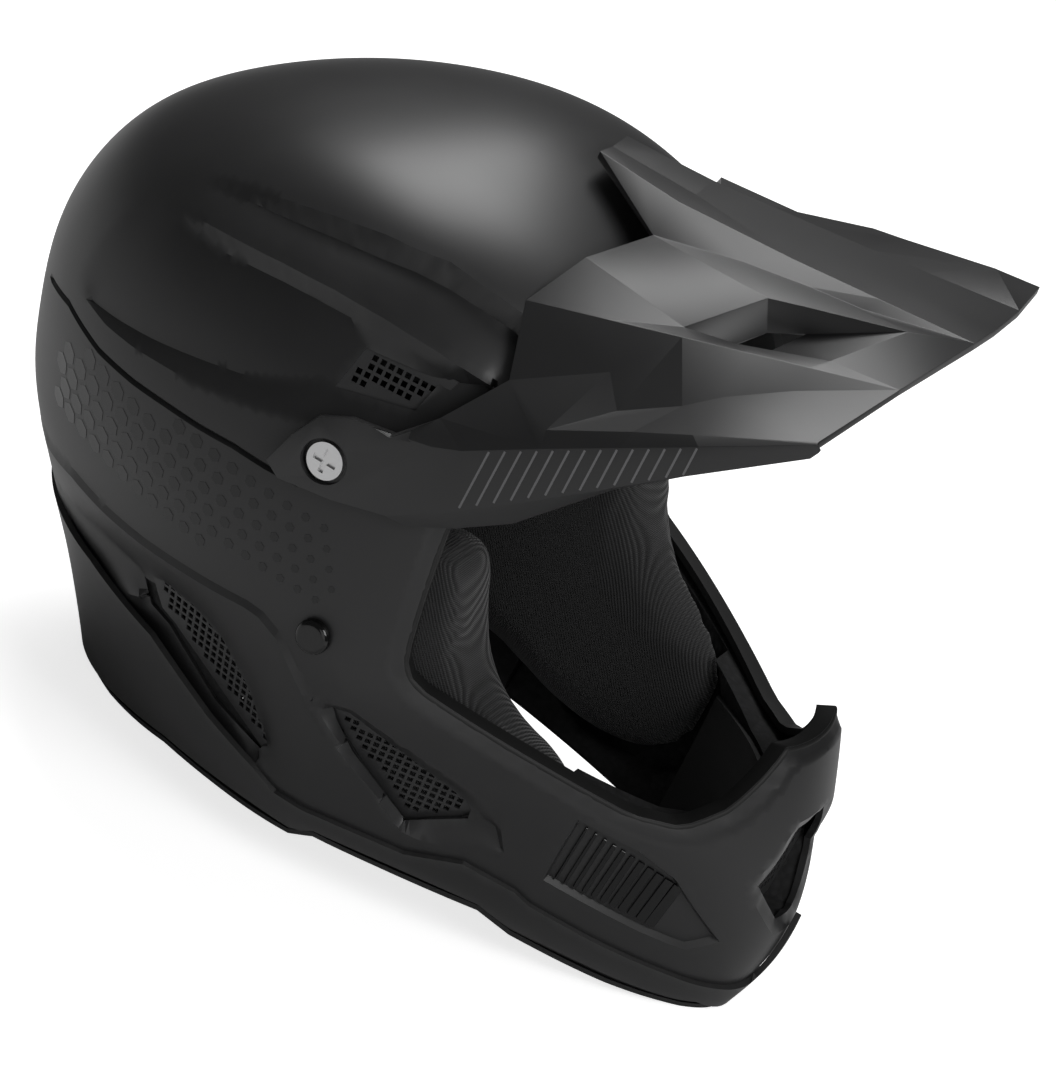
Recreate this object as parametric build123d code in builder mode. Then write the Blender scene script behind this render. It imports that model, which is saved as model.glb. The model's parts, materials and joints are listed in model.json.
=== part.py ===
# Downhill bike full face helmet, in millimetres.
# X runs across the head with the wearer's left at +X, the face looks along -Y, +Z is up.
# The helmet stands on its lower edge at Z 0, and Y 0 is midway between chin and nape.
import os
from functools import cache
from math import atan2, cos, degrees, hypot, pi, radians, sin, sqrt, tan

from build123d import *

# Overall size of the outer shell
shell_width = 240.0
shell_height = 266.0
chin_reach = 204.0
rear_reach = 154.0

# Walls and layers, each counted inwards from the outer surface
shell_wall = 2.6
seat_gap = 0.3
liner_depth = 30.0
chin_liner_depth = 24.0
cheek_liner_depth = 12.0
comfort_pad_thickness = 8.0
neck_roll_thickness = 12.0
wrap_thickness = 2.3
cover_thickness = 2.4
overrun = 20.0
# Where a cut through the wall starts, as shares of the half width, chin reach and rear reach
vent_start_share = 0.4
groove_start_share = 0.3
chin_vent_start_share = 0.6
exhaust_start_share = 0.5

# Horizontal sections: height, half width, front and rear reach, place of the widest point
# (as a share of the chin reach) and the power of the front curve, 2 being an ellipse
section_shares = [
    (0.000, 0.600, 0.945, 0.570, -0.22, 1.2),
    (0.075, 0.740, 0.980, 0.620, -0.22, 1.2),
    (0.170, 0.845, 0.995, 0.710, -0.22, 1.2),
    (0.263, 0.920, 0.985, 0.825, -0.22, 1.2),
    (0.357, 0.980, 0.950, 0.930, -0.22, 1.2),
    (0.451, 1.000, 0.900, 0.975, -0.10, 1.6),
    (0.564, 1.000, 0.820, 1.000, 0.00, 2.0),
    (0.677, 0.975, 0.725, 0.970, 0.02, 2.0),
    (0.770, 0.925, 0.630, 0.880, 0.02, 2.0),
    (0.846, 0.850, 0.530, 0.735, 0.01, 2.0),
    (0.910, 0.735, 0.410, 0.555, 0.00, 2.0),
    (0.955, 0.555, 0.270, 0.370, 0.00, 2.0),
    (0.985, 0.310, 0.145, 0.200, 0.00, 2.0),
    (1.000, 0.040, 0.020, 0.026, 0.00, 2.0),
]
section_point_count = 20
crown_y = (chin_reach * max(row[2] for row in section_shares) - rear_reach) / 2

# Side outlines, as shares of the chin reach and of the shell height
eye_port_shares = [
    (-0.280, 0.624), (-0.304, 0.430), (-0.343, 0.398), (-0.735, 0.316), (-0.810, 0.316),
    (-0.863, 0.357), (-0.885, 0.440), (-1.250, 0.440), (-1.250, 0.792), (-0.600, 0.792),
    (-0.490, 0.762), (-0.360, 0.694),
]
lower_edge_shares = [
    (-1.100, 0.000), (-0.900, 0.000), (-0.780, 0.015), (-0.610, 0.045), (-0.550, 0.071),
    (-0.245, 0.071), (-0.195, 0.045), (0.100, 0.037), (0.270, 0.000), (0.900, 0.000),
]
wrap_seam_shares = [
    (0.900, 0.250), (0.340, 0.240), (0.157, 0.226), (0.000, 0.173), (-0.113, 0.143),
    (-0.162, 0.124), (-0.255, 0.128), (-0.407, 0.132), (-0.505, 0.158), (-0.598, 0.143),
    (-0.627, 0.128), (-0.745, 0.102), (-0.858, 0.079), (-1.100, 0.050),
]
front_vent_shares = [
    (-0.216, 0.312), (-0.475, 0.267), (-0.475, 0.226), (-0.461, 0.214), (-0.387, 0.180), (-0.304, 0.237),
]
rear_vent_shares = [
    (0.196, 0.316), (0.078, 0.316), (-0.025, 0.289), (-0.098, 0.218), (-0.137, 0.180),
    (-0.118, 0.169), (0.127, 0.263), (0.157, 0.271),
]
brow_vent_shares = [(-0.020, 0.782), (-0.157, 0.782), (-0.137, 0.741), (0.000, 0.722)]
upper_groove_shares = [
    (0.485, 0.797), (0.324, 0.842), (0.044, 0.902), (-0.044, 0.914), (-0.200, 0.898),
    (-0.200, 0.872), (-0.078, 0.883), (0.093, 0.876), (0.363, 0.827),
]
lower_groove_shares = [
    (0.520, 0.752), (0.216, 0.812), (0.049, 0.823), (-0.137, 0.816), (-0.260, 0.800),
    (-0.080, 0.763), (0.034, 0.801), (0.191, 0.789), (0.490, 0.752),
]
liner_front_shares = [
    (-0.245, -0.080), (-0.245, 0.640), (-0.360, 0.712), (-0.490, 0.780), (-0.600, 0.810),
    (-1.250, 0.810), (-1.250, -0.080),
]
chin_liner_shares = [
    (-0.248, -0.080), (-0.248, 0.376), (-0.333, 0.376), (-0.735, 0.297), (-0.804, 0.297),
    (-0.860, 0.331), (-0.893, 0.406), (-1.250, 0.406), (-1.250, -0.080),
]
cheek_pad_shares = [
    (-0.304, 0.549), (-0.353, 0.481), (-0.412, 0.406), (-0.539, 0.346), (-0.637, 0.293), (-0.652, 0.226),
    (-0.618, 0.150), (-0.515, 0.113), (-0.343, 0.120), (-0.172, 0.158), (0.000, 0.188), (0.083, 0.248),
    (0.098, 0.350), (0.029, 0.451), (-0.123, 0.534),
]
cheek_pad_middle_share = (-0.270, 0.320)

# Front outline of the chin vent, as shares of half the shell width and of the shell height
chin_vent_shares = [
    (-0.225, 0.244), (-0.125, 0.320), (0.125, 0.320), (0.225, 0.244), (0.075, 0.173), (-0.075, 0.173),
]
# Rear outline of the exhaust vent, measured the same way
exhaust_vent_shares = [
    (-0.250, 0.600), (-0.180, 0.640), (0.180, 0.640), (0.250, 0.600), (0.140, 0.545), (-0.140, 0.545),
]

# Cheek pads: how far in each slice of the crowned form lies, and how large it is there
cheek_pad_inner_face = 54.0
cheek_pad_crown_depth = 18.0
cheek_pad_slices = [(0.00, 0.78), (0.18, 0.89), (0.45, 0.96), (1.00, 1.00)]
cheek_pad_back = 125.0

# Vent meshes
mesh_thickness = 0.8
mesh_margin = 2.4
mesh_pitch = 3.2
mesh_hole = 2.1
mesh_hole_room = 1.6
mesh_inset = 3.2
groove_depth = 1.5

# Rubber trim round the eye port
trim_width = 2.4
trim_stand = 0.6
chin_cover_shares = [(-0.637, 0.075), (-1.250, 0.075), (-1.250, 0.290), (-0.637, 0.290)]
# Heights of the comfort padding: crown, brow low and high, neck roll low and high
comfort_height_shares = (0.812, 0.752, 0.802, 0.050, 0.188)
brow_rear_share = 0.049
roll_front_share = 0.137
crown_slot_pitch = (34.0, 49.0)
crown_slot_size = (12.5, 33.0)
crown_slot_radius = 5.9
crown_slot_count = (3, 2)
trim_depth = 7.0
trim_clearance = 0.15
port_corner_radius = 5.0
base_trim_height = 3.0
base_trim_depth = 16.0

# Visor: it tilts about its two side screws
pivot_share = (-0.049, 0.639)
visor_thickness = 2.8
visor_clearance = 1.8
arm_thickness = 3.4
arm_stand = 2.5
arm_taper = 6.8
# Each station of the skin: Y, height of its outer edge, then width and height of the folds
visor_station_shares = [
    (-0.098, 0.650, [(-0.975, 0.748), (-0.675, 0.944), (-0.175, 1.024), (-0.096, 1.028)]),
    (-0.196, 0.688, [(-0.933, 0.774), (-0.733, 0.925), (-0.217, 1.011), (-0.100, 1.030)]),
    (-0.294, 0.726, [(-0.858, 0.801), (-0.683, 0.929), (-0.258, 0.996), (-0.104, 1.032)]),
    (-0.539, 0.868, [(-0.767, 0.932), (-0.625, 0.992), (-0.200, 1.034), (-0.142, 1.051)]),
    (-0.784, 0.977, [(-0.600, 1.041), (-0.590, 1.053), (-0.183, 1.068), (-0.170, 1.073)]),
    (-0.863, 0.998, [(-0.590, 1.053), (-0.580, 1.060), (-0.190, 1.075), (-0.180, 1.079)]),
]
visor_plan_shares = [
    (0.092, -0.108), (0.258, -0.279), (0.667, -0.196), (0.867, -0.245),
    (1.100, -0.250), (1.100, -0.775), (0.850, -0.775), (0.583, -0.824), (0.183, -0.853),
]
wing_hole_shares = [(0.583, -0.441), (0.417, -0.525), (0.375, -0.750), (0.542, -0.681)]
visor_arm_shares = [
    (0.069, 0.602), (0.025, 0.680), (-0.029, 0.703), (-0.245, 0.748), (-0.598, 0.902), (-0.775, 0.985),
    (-0.775, 0.966), (-0.623, 0.861), (-0.559, 0.827), (-0.284, 0.613), (-0.230, 0.609),
    (-0.020, 0.575), (0.039, 0.586),
]

screw_head_radius = 6.9
screw_head_height = 2.0
screw_shaft_radius = 3.0
screw_recess_radius = 8.5
screw_recess_depth = 2.4
boss_radius = 10.5
running_clearance = 0.05
cross_slot_length = 9.0
cross_slot_width = 2.0
cross_slot_depth = 1.0
nut_flange_radius = 8.0
nut_flange_thickness = 1.4
nut_barrel_radius = 4.5
nut_barrel_length = 3.2

# Centre lock under the visor
lock_tab_width = 20.0
lock_tab_thickness = 3.0
lock_slot_length = 23.0
lock_slot_clearance = 0.2
lock_tab_lower_angle = 6.7
lock_tab_upper_angle = 27.3
lock_boss_radius = 8.0
lock_boss_reach = 121.0
lock_boss_gap = 1.3
lock_share = (-0.525, 0.852)
lock_shaft_radius = 2.5
lock_knob_radius = 9.0
lock_knob_height = 8.0
lock_knob_flutes = 12
lock_flute_radius = 1.4
lock_shaft_length = 9.0
lock_washer_radius = 7.0
lock_washer_thickness = 1.0

# Chin strap and its hardware
rivet_share = (-0.150, 0.406)
rivet_head_radius = 6.5
rivet_dome_height = 2.2
rivet_flange = 1.0
rivet_stand = 1.2
rivet_shaft_radius = 2.5
anchor_plate_radius = 9.5
anchor_plate_thickness = 1.5
anchor_plate_clearance = 1.2
strap_width = 22.0
strap_thickness = 1.4
strap_slack = 0.4
strap_path_shares = [(-0.165, 0.445), (-0.073, 0.150)]
band_overlap = 4.0
passage_half_height = 2.2
passage_rise = 12.0
passage_rise_room = 4.0
passage_side_room = 3.0
tuck_gap = 1.5
tuck_length = 70.0
ring_radius = 17.2
ring_axis_x = 54.0
loop_drop = 8.0
loop_room = 0.7
ring_bar = 4.0
ring_thickness = 3.2
ring_pitch = 4.6
snap_radius = 5.5
snap_height = 1.2
snap_inset = 12.0

# Press studs that hold the cheek pads
stud_shares = [(-0.539, 0.173), (0.000, 0.395), (-0.294, 0.342)]
stud_base_radius = 5.5
stud_base_length = 3.0
stud_pin_radius = 2.2
stud_pin_length = 3.4
socket_height = 2.6


def side_point(share):
    """Place in the side view, from shares of the chin reach and of the shell height."""
    return (crown_y + share[0] * chin_reach, share[1] * shell_height)


def side_points(shares, lift=0.0):
    return [(y, z + lift) for y, z in map(side_point, shares)]


def front_points(shares):
    return [(x * shell_width / 2, z * shell_height) for x, z in shares]


def section_points(row, inset):
    """Closed outline of one horizontal section, drawn inset from the outer surface."""
    height, width, front, rear, middle, power = row
    half_width = width * (shell_width / 2 - inset)
    middle_y = middle * chin_reach
    points = []
    for step in range(section_point_count):
        angle = 2 * pi * step / section_point_count
        forward = cos(angle) > 0
        reach = front * (chin_reach - inset) + middle_y if forward else rear * (rear_reach - inset) - middle_y
        along = abs(cos(angle)) ** (2 / power) * -reach if forward else abs(cos(angle)) * reach
        across = sin(angle) * half_width
        points.append((across, crown_y + middle_y + along))
    return points


@cache
def head_form(inset):
    """Solid bounded by the helmet's surface moved inwards by the inset."""
    with BuildPart() as form:
        for row in section_shares:
            with BuildSketch(Plane.XY.offset(row[0] * (shell_height - inset))):
                with BuildLine():
                    Spline(*section_points(row, inset), periodic=True)
                make_face()
        loft()
    return form.part


def section_at(z, inset):
    """Section row at a height, blended between the rows below and above it."""
    share = z / (shell_height - inset)
    for low, high in zip(section_shares, section_shares[1:]):
        if low[0] <= share <= high[0]:
            blend = (share - low[0]) / (high[0] - low[0])
            return [a + (b - a) * blend for a, b in zip(low, high)]


def end_reach_at(x, z, inset, forward):
    """Y of the inset form in front of or behind a place of the front view."""
    row = section_at(z, inset)
    middle_y = row[4] * chin_reach
    across = x / (row[1] * (shell_width / 2 - inset))
    if forward:
        reach = row[2] * (chin_reach - inset) + middle_y
        return crown_y + middle_y - reach * (1 - across ** 2) ** (1 / row[5])
    reach = row[3] * (rear_reach - inset) - middle_y
    return crown_y + middle_y + reach * sqrt(1 - across ** 2)


def half_width_at(place, inset):
    """Half width of the inset form at a place of the side view."""
    y, z = place
    row = section_at(z, inset)
    middle_y = row[4] * chin_reach
    along = y - crown_y - middle_y
    forward = along < 0
    reach = row[2] * (chin_reach - inset) + middle_y if forward else row[3] * (rear_reach - inset) - middle_y
    power = row[5] if forward else 2.0
    return row[1] * (shell_width / 2 - inset) * sqrt(1 - abs(along / reach) ** power)


def side_prism(points, near, far, radius=0.0, shrink=0.0):
    """Side outline carried across the head from one X to another."""
    with BuildPart() as prism:
        with BuildSketch(Plane.YZ.offset(near)):
            with BuildLine():
                Polyline(*points, close=True)
            make_face()
            if radius:
                fillet(vertices(), radius)
            if shrink:
                offset(amount=-shrink, kind=Kind.INTERSECTION)
        extrude(amount=far - near)
    return prism.part


def across_prism(shares, radius=0.0, shrink=0.0):
    return side_prism(side_points(shares), -shell_width, shell_width, radius, shrink)


def flank_prism(shares, side, shrink=0.0, start_share=vent_start_share):
    """Side outline carried out through one flank only."""
    ends = sorted([side * shell_width / 2 * start_share, side * shell_width])
    return side_prism(side_points(shares), ends[0], ends[1], 0.0, shrink)


def below_edge(lift):
    """Everything under the helmet's lower edge, raised by the lift."""
    points = side_points(lower_edge_shares, lift)
    depth = -overrun
    return side_prism([(points[0][0], depth)] + points + [(points[-1][0], depth)], -shell_width, shell_width)


def end_prism(shares, y_from, y_to, shrink=0.0):
    """Front or rear outline carried along the head."""
    with BuildPart() as prism:
        with BuildSketch(Plane.XZ.offset(-y_from)):
            with BuildLine():
                Polyline(*front_points(shares), close=True)
            make_face()
            if shrink:
                offset(amount=-shrink, kind=Kind.INTERSECTION)
        extrude(amount=y_from - y_to)
    return prism.part


def mirrored(part):
    """The same form on the other flank."""
    with BuildPart() as other:
        mirror(part, about=Plane.YZ)
    return other.part


def rim_widths(place, inset, radius):
    """Half widths of the inset form at four points round a disc in the side view."""
    y, z = place
    rim = [(y - radius, z), (y + radius, z), (y, z - radius), (y, z + radius)]
    return [half_width_at(spot, inset) for spot in rim]


def side_rod(place, x_from, x_to, radius):
    """Round bar along X at a place of the side view."""
    with BuildPart() as rod:
        with BuildSketch(Plane.YZ.offset(min(x_from, x_to))):
            with Locations(place):
                Circle(radius)
        extrude(amount=abs(x_to - x_from))
    return rod.part


def finish(piece, label):
    piece.part.label = label
    export_step(piece.part, "parts/" + label + ".step")
    print(label, len(piece.part.solids()), round(piece.part.volume))


os.makedirs("parts", exist_ok=True)
sides = {"right": -1, "left": 1}
outer_form = head_form(0.0)
shell_inner_form = head_form(shell_wall)
liner_outer_form = head_form(shell_wall + seat_gap)
liner_inner_form = head_form(liner_depth)
cheek_seat_form = head_form(cheek_liner_depth)
eye_port = across_prism(eye_port_shares, port_corner_radius)
vent_sets = {
    "front_side_vent": front_vent_shares,
    "rear_side_vent": rear_vent_shares,
    "brow_vent": brow_vent_shares,
}
flank_vents = [flank_prism(shares, side) for shares in vent_sets.values() for side in sides.values()]
chin_span = (crown_y - chin_reach * chin_vent_start_share, crown_y - chin_reach - overrun)
exhaust_span = (crown_y + rear_reach + overrun, crown_y + rear_reach * exhaust_start_share)
chin_vent = end_prism(chin_vent_shares, *chin_span)
exhaust_vent = end_prism(exhaust_vent_shares, *exhaust_span)
pivot = side_point(pivot_share)
rivet_place = side_point(rivet_share)
pivot_half_width = half_width_at(pivot, 0.0)

# Centre lock axis: it points from the tilt axis to the forehead
lock_place = side_point(lock_share)
lock_angle = atan2(lock_place[1] - pivot[1], pivot[0] - lock_place[0])
lock_plane = Plane(
    origin=(0, pivot[0], pivot[1]),
    x_dir=(1, 0, 0),
    z_dir=(0, -cos(lock_angle), sin(lock_angle)),
)


def lock_disc(start, end, radius):
    """Round bar on the centre lock's axis, measured out from the tilt axis."""
    with BuildPart() as disc:
        with BuildSketch(lock_plane.offset(start)):
            Circle(radius)
        extrude(amount=end - start)
    return disc.part


def surface_cut(shares):
    """Shallow channel in the outer surface of the right flank."""
    with BuildPart() as cut:
        add(flank_prism(shares, -1, start_share=groove_start_share))
        add(groove_floor_form, mode=Mode.SUBTRACT)
    return cut.part


groove_floor_form = head_form(groove_depth)
grooves = [surface_cut(shares) for shares in (upper_groove_shares, lower_groove_shares)]
with BuildPart() as outer_shell:
    add(outer_form)
    add(lock_disc(lock_boss_reach / 2, lock_boss_reach, lock_boss_radius))
    add(shell_inner_form, mode=Mode.SUBTRACT)
    add([eye_port, below_edge(base_trim_height + seat_gap), chin_vent, exhaust_vent], mode=Mode.SUBTRACT)
    add(flank_vents, mode=Mode.SUBTRACT)
    add(grooves + [mirrored(groove) for groove in grooves], mode=Mode.SUBTRACT)
    add(side_rod(pivot, -shell_width, shell_width, nut_barrel_radius + running_clearance), mode=Mode.SUBTRACT)
    rivet_bore = side_rod(rivet_place, -shell_width, shell_width, rivet_shaft_radius + running_clearance)
    add(rivet_bore, mode=Mode.SUBTRACT)
    bore_start = lock_boss_reach - lock_shaft_length - overrun
    lock_bore = lock_disc(bore_start, lock_boss_reach, lock_shaft_radius + running_clearance)
    add(lock_bore, mode=Mode.SUBTRACT)
finish(outer_shell, "outer_shell")

with BuildPart() as lower_wrap:
    seam = side_points(wrap_seam_shares)
    seam_outline = [(seam[0][0], -overrun)] + seam + [(seam[-1][0], -overrun)]
    add(side_prism(seam_outline, -shell_width, shell_width))
    add(head_form(-seat_gap - wrap_thickness), mode=Mode.INTERSECT)
    add(head_form(-seat_gap), mode=Mode.SUBTRACT)
    add(below_edge(0.0), mode=Mode.SUBTRACT)
finish(lower_wrap, "lower_wrap")

with BuildPart() as base_trim:
    add(outer_form)
    add(head_form(base_trim_depth), mode=Mode.SUBTRACT)
    add(below_edge(base_trim_height), mode=Mode.INTERSECT)
    add(below_edge(0.0), mode=Mode.SUBTRACT)
finish(base_trim, "base_trim")

with BuildPart() as eyeport_trim:
    add(head_form(-trim_stand))
    add(head_form(trim_depth), mode=Mode.SUBTRACT)
    add(across_prism(eye_port_shares, port_corner_radius, trim_clearance), mode=Mode.INTERSECT)
    add(across_prism(eye_port_shares, port_corner_radius, trim_width), mode=Mode.SUBTRACT)
finish(eyeport_trim, "eyeport_trim")


def layer(inset_from, inset_to, prism):
    """What lies between two insets, limited to a prism."""
    with BuildPart() as piece:
        add(prism)
        add(head_form(inset_from), mode=Mode.INTERSECT)
        add(head_form(inset_to), mode=Mode.SUBTRACT)
    return piece.part


def slab(y_from, y_to, z_from, z_to):
    """Block across the whole head between two Y and two Z."""
    corners = [(y_from, z_from), (y_to, z_from), (y_to, z_to), (y_from, z_to)]
    return side_prism(corners, -shell_width, shell_width)


# Cheek pads: crowned towards the face, seated in a pocket of the liner
def cheek_pad_outline(scale):
    middle = side_point(cheek_pad_middle_share)
    points = side_points(cheek_pad_shares)
    return [tuple(m + (p - m) * scale for m, p in zip(middle, point)) for point in points]


with BuildPart() as cheek_pad_block:
    slices = [
        (cheek_pad_inner_face + depth * cheek_pad_crown_depth, size) for depth, size in cheek_pad_slices
    ]
    for x, size in slices + [(cheek_pad_back, 1.0)]:
        with BuildSketch(Plane.YZ.offset(-x)):
            with BuildLine():
                Spline(*cheek_pad_outline(size), periodic=True)
            make_face()
    loft(ruled=True)

# The pocket's outline is the pad's, scaled until its nearest point clears the pad
pad_middle = side_point(cheek_pad_middle_share)
pad_least_reach = min(
    hypot(y - pad_middle[0], z - pad_middle[1]) for y, z in side_points(cheek_pad_shares)
)
with BuildPart() as pad_pocket:
    with BuildSketch(Plane.YZ.offset(-cheek_pad_inner_face / 2)):
        with BuildLine():
            Spline(*cheek_pad_outline(1.0 + seat_gap / pad_least_reach), periodic=True)
        make_face()
    extrude(amount=-cheek_pad_back)
    add(cheek_seat_form, mode=Mode.INTERSECT)
pad_pockets = [pad_pocket.part, mirrored(pad_pocket.part)]


# Hidden run of the chin strap, between the cheek pad and the liner
strap_seat = cheek_liner_depth + seat_gap
strap_floor = strap_seat + strap_thickness
band_top, band_end = side_points(strap_path_shares)
band_length = hypot(band_end[0] - band_top[0], band_end[1] - band_top[1])
band_angle = degrees(atan2(band_end[1] - band_top[1], band_end[0] - band_top[0]))
band_middle = ((band_top[0] + band_end[0]) / 2, (band_top[1] + band_end[1]) / 2)
strap_y, leg_z = band_end


def band_prism(side, slack):
    """Slanted strip of the side view that the hidden part of the strap follows."""
    with BuildPart() as prism:
        with BuildSketch(Plane.YZ.offset(side * cheek_pad_inner_face)):
            with Locations(Location((*band_middle, 0), band_angle)):
                Rectangle(band_length + 2 * band_overlap + 2 * slack, strap_width + 2 * slack)
        extrude(amount=side * shell_width / 2)
        foot = leg_z - strap_thickness / 2 - slack
        add(slab(-shell_width, shell_width, foot, shell_height), mode=Mode.INTERSECT)
    return prism.part


def cross_block(side, x_from, x_to, z_from, z_to, half_length):
    """Block beside the neck opening, centred on the strap along Y."""
    corners = [(strap_y - half_length, z_from), (strap_y + half_length, z_from),
               (strap_y + half_length, z_to), (strap_y - half_length, z_to)]
    return side_prism(corners, side * x_from, side * x_to)


leg_outer = half_width_at(band_end, strap_seat)
strap_half = strap_width / 2
passages = {
    side: cross_block(
        side, cheek_pad_inner_face, leg_outer + passage_rise_room, leg_z - passage_half_height,
        leg_z + passage_rise, strap_half + passage_side_room,
    )
    for side in sides.values()
}
strap_channel = layer(cheek_liner_depth - seat_gap, strap_floor + strap_slack, band_prism(-1, strap_slack))
stud_places = [side_point(share) for share in stud_shares]
stud_seats = [half_width_at(place, cheek_liner_depth) for place in stud_places]
stud_room_radius = stud_base_radius + seat_gap
stud_room_depth = stud_pin_length + seat_gap

with BuildPart() as cheek_pad_right:
    add(cheek_pad_block.part)
    add(head_form(strap_seat), mode=Mode.INTERSECT)
    add(strap_channel, mode=Mode.SUBTRACT)
    for place, seat in zip(stud_places, stud_seats):
        stud_room = side_rod(place, stud_room_depth - seat, -seat - stud_room_depth, stud_room_radius)
        add(stud_room, mode=Mode.SUBTRACT)
finish(cheek_pad_right, "cheek_pad_right")

with BuildPart() as cheek_pad_left:
    add(mirrored(cheek_pad_right.part))
finish(cheek_pad_left, "cheek_pad_left")

# Vents through the liner, a little wider than the meshes
mesh_room = mesh_margin + seat_gap
vent_rooms = [
    flank_prism(shares, side, -mesh_room) for shares in vent_sets.values() for side in sides.values()
]
chin_room = end_prism(chin_vent_shares, *chin_span, -mesh_room)
exhaust_room = end_prism(exhaust_vent_shares, *exhaust_span, -mesh_room)
edge_room = below_edge(base_trim_height + seat_gap)
stud_rooms = [
    side_rod(
        place, side * (seat - stud_room_depth), side * (seat + stud_base_length + seat_gap), stud_room_radius,
    )
    for side in sides.values() for place, seat in zip(stud_places, stud_seats)
]
plate_inner = max(rim_widths(rivet_place, strap_seat, anchor_plate_radius)) + anchor_plate_clearance
plate_outer = plate_inner + anchor_plate_thickness
nut_face = min(rim_widths(pivot, shell_wall, nut_flange_radius)) - seat_gap
hardware_rooms = []
for side in sides.values():
    plate_room = anchor_plate_radius + seat_gap
    plate_floor = plate_inner - strap_seat / 2
    hardware_rooms.append(side_rod(rivet_place, side * plate_floor, side * (plate_outer + seat_gap), plate_room))
    shaft_room = rivet_shaft_radius + seat_gap
    hardware_rooms.append(side_rod(rivet_place, side * plate_outer, side * shell_width, shaft_room))
    nut_floor = nut_face - nut_flange_thickness - seat_gap
    hardware_rooms.append(side_rod(pivot, side * nut_floor, side * shell_width, nut_flange_radius + seat_gap))

with BuildPart() as crown_liner:
    add(liner_outer_form)
    add(liner_inner_form, mode=Mode.SUBTRACT)
    add([across_prism(liner_front_shares), edge_room, exhaust_room] + vent_rooms, mode=Mode.SUBTRACT)
    add(pad_pockets + list(passages.values()), mode=Mode.SUBTRACT)
    add(stud_rooms + hardware_rooms, mode=Mode.SUBTRACT)
finish(crown_liner, "crown_liner")

with BuildPart() as chin_liner:
    add(layer(shell_wall + seat_gap, chin_liner_depth, across_prism(chin_liner_shares)))
    add(edge_room, mode=Mode.SUBTRACT)
    add(chin_room, mode=Mode.SUBTRACT)
    add(vent_rooms[:2], mode=Mode.SUBTRACT)
    add(pad_pockets, mode=Mode.SUBTRACT)
    add(stud_rooms, mode=Mode.SUBTRACT)
finish(chin_liner, "chin_liner")

cover_seat = chin_liner_depth + seat_gap
with BuildPart() as chin_guard_cover:
    add(layer(cover_seat, cover_seat + cover_thickness, across_prism(chin_cover_shares)))
finish(chin_guard_cover, "chin_guard_cover")

# Comfort padding on the liner
comfort_seat = liner_depth + seat_gap
crown_low, brow_low, brow_high, roll_low, roll_high = [share * shell_height for share in comfort_height_shares]
brow_rear = crown_y + brow_rear_share * chin_reach
roll_front = crown_y + roll_front_share * chin_reach
with BuildPart() as crown_pad:
    add(layer(
        comfort_seat, comfort_seat + comfort_pad_thickness,
        slab(-shell_width, shell_width, crown_low, shell_height),
    ))
    with BuildSketch(Plane.XY):
        with Locations((0, crown_y)):
            with GridLocations(*crown_slot_pitch, *crown_slot_count):
                RectangleRounded(*crown_slot_size, crown_slot_radius)
    extrude(amount=shell_height, mode=Mode.SUBTRACT)
finish(crown_pad, "crown_pad")

with BuildPart() as brow_pad:
    add(layer(
        comfort_seat, comfort_seat + comfort_pad_thickness,
        slab(-shell_width, brow_rear, brow_low, brow_high),
    ))
finish(brow_pad, "brow_pad")

with BuildPart() as neck_roll:
    add(layer(
        comfort_seat, comfort_seat + neck_roll_thickness,
        slab(roll_front, shell_width, roll_low, roll_high),
    ))
finish(neck_roll, "neck_roll")


# Vent meshes: flat holed plates just inside the shell
def outline_room(point, outline):
    """Distance from a point to the nearest edge of an outline, below zero outside it."""
    u, v = point
    inside = False
    reaches = []
    for (u1, v1), (u2, v2) in zip(outline, outline[1:] + outline[:1]):
        if (v1 > v) != (v2 > v) and u < u1 + (u2 - u1) * (v - v1) / (v2 - v1):
            inside = not inside
        along = ((u - u1) * (u2 - u1) + (v - v1) * (v2 - v1)) / ((u2 - u1) ** 2 + (v2 - v1) ** 2)
        along = min(1.0, max(0.0, along))
        reaches.append(hypot(u - u1 - along * (u2 - u1), v - v1 - along * (v2 - v1)))
    return min(reaches) if inside else -min(reaches)


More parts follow.
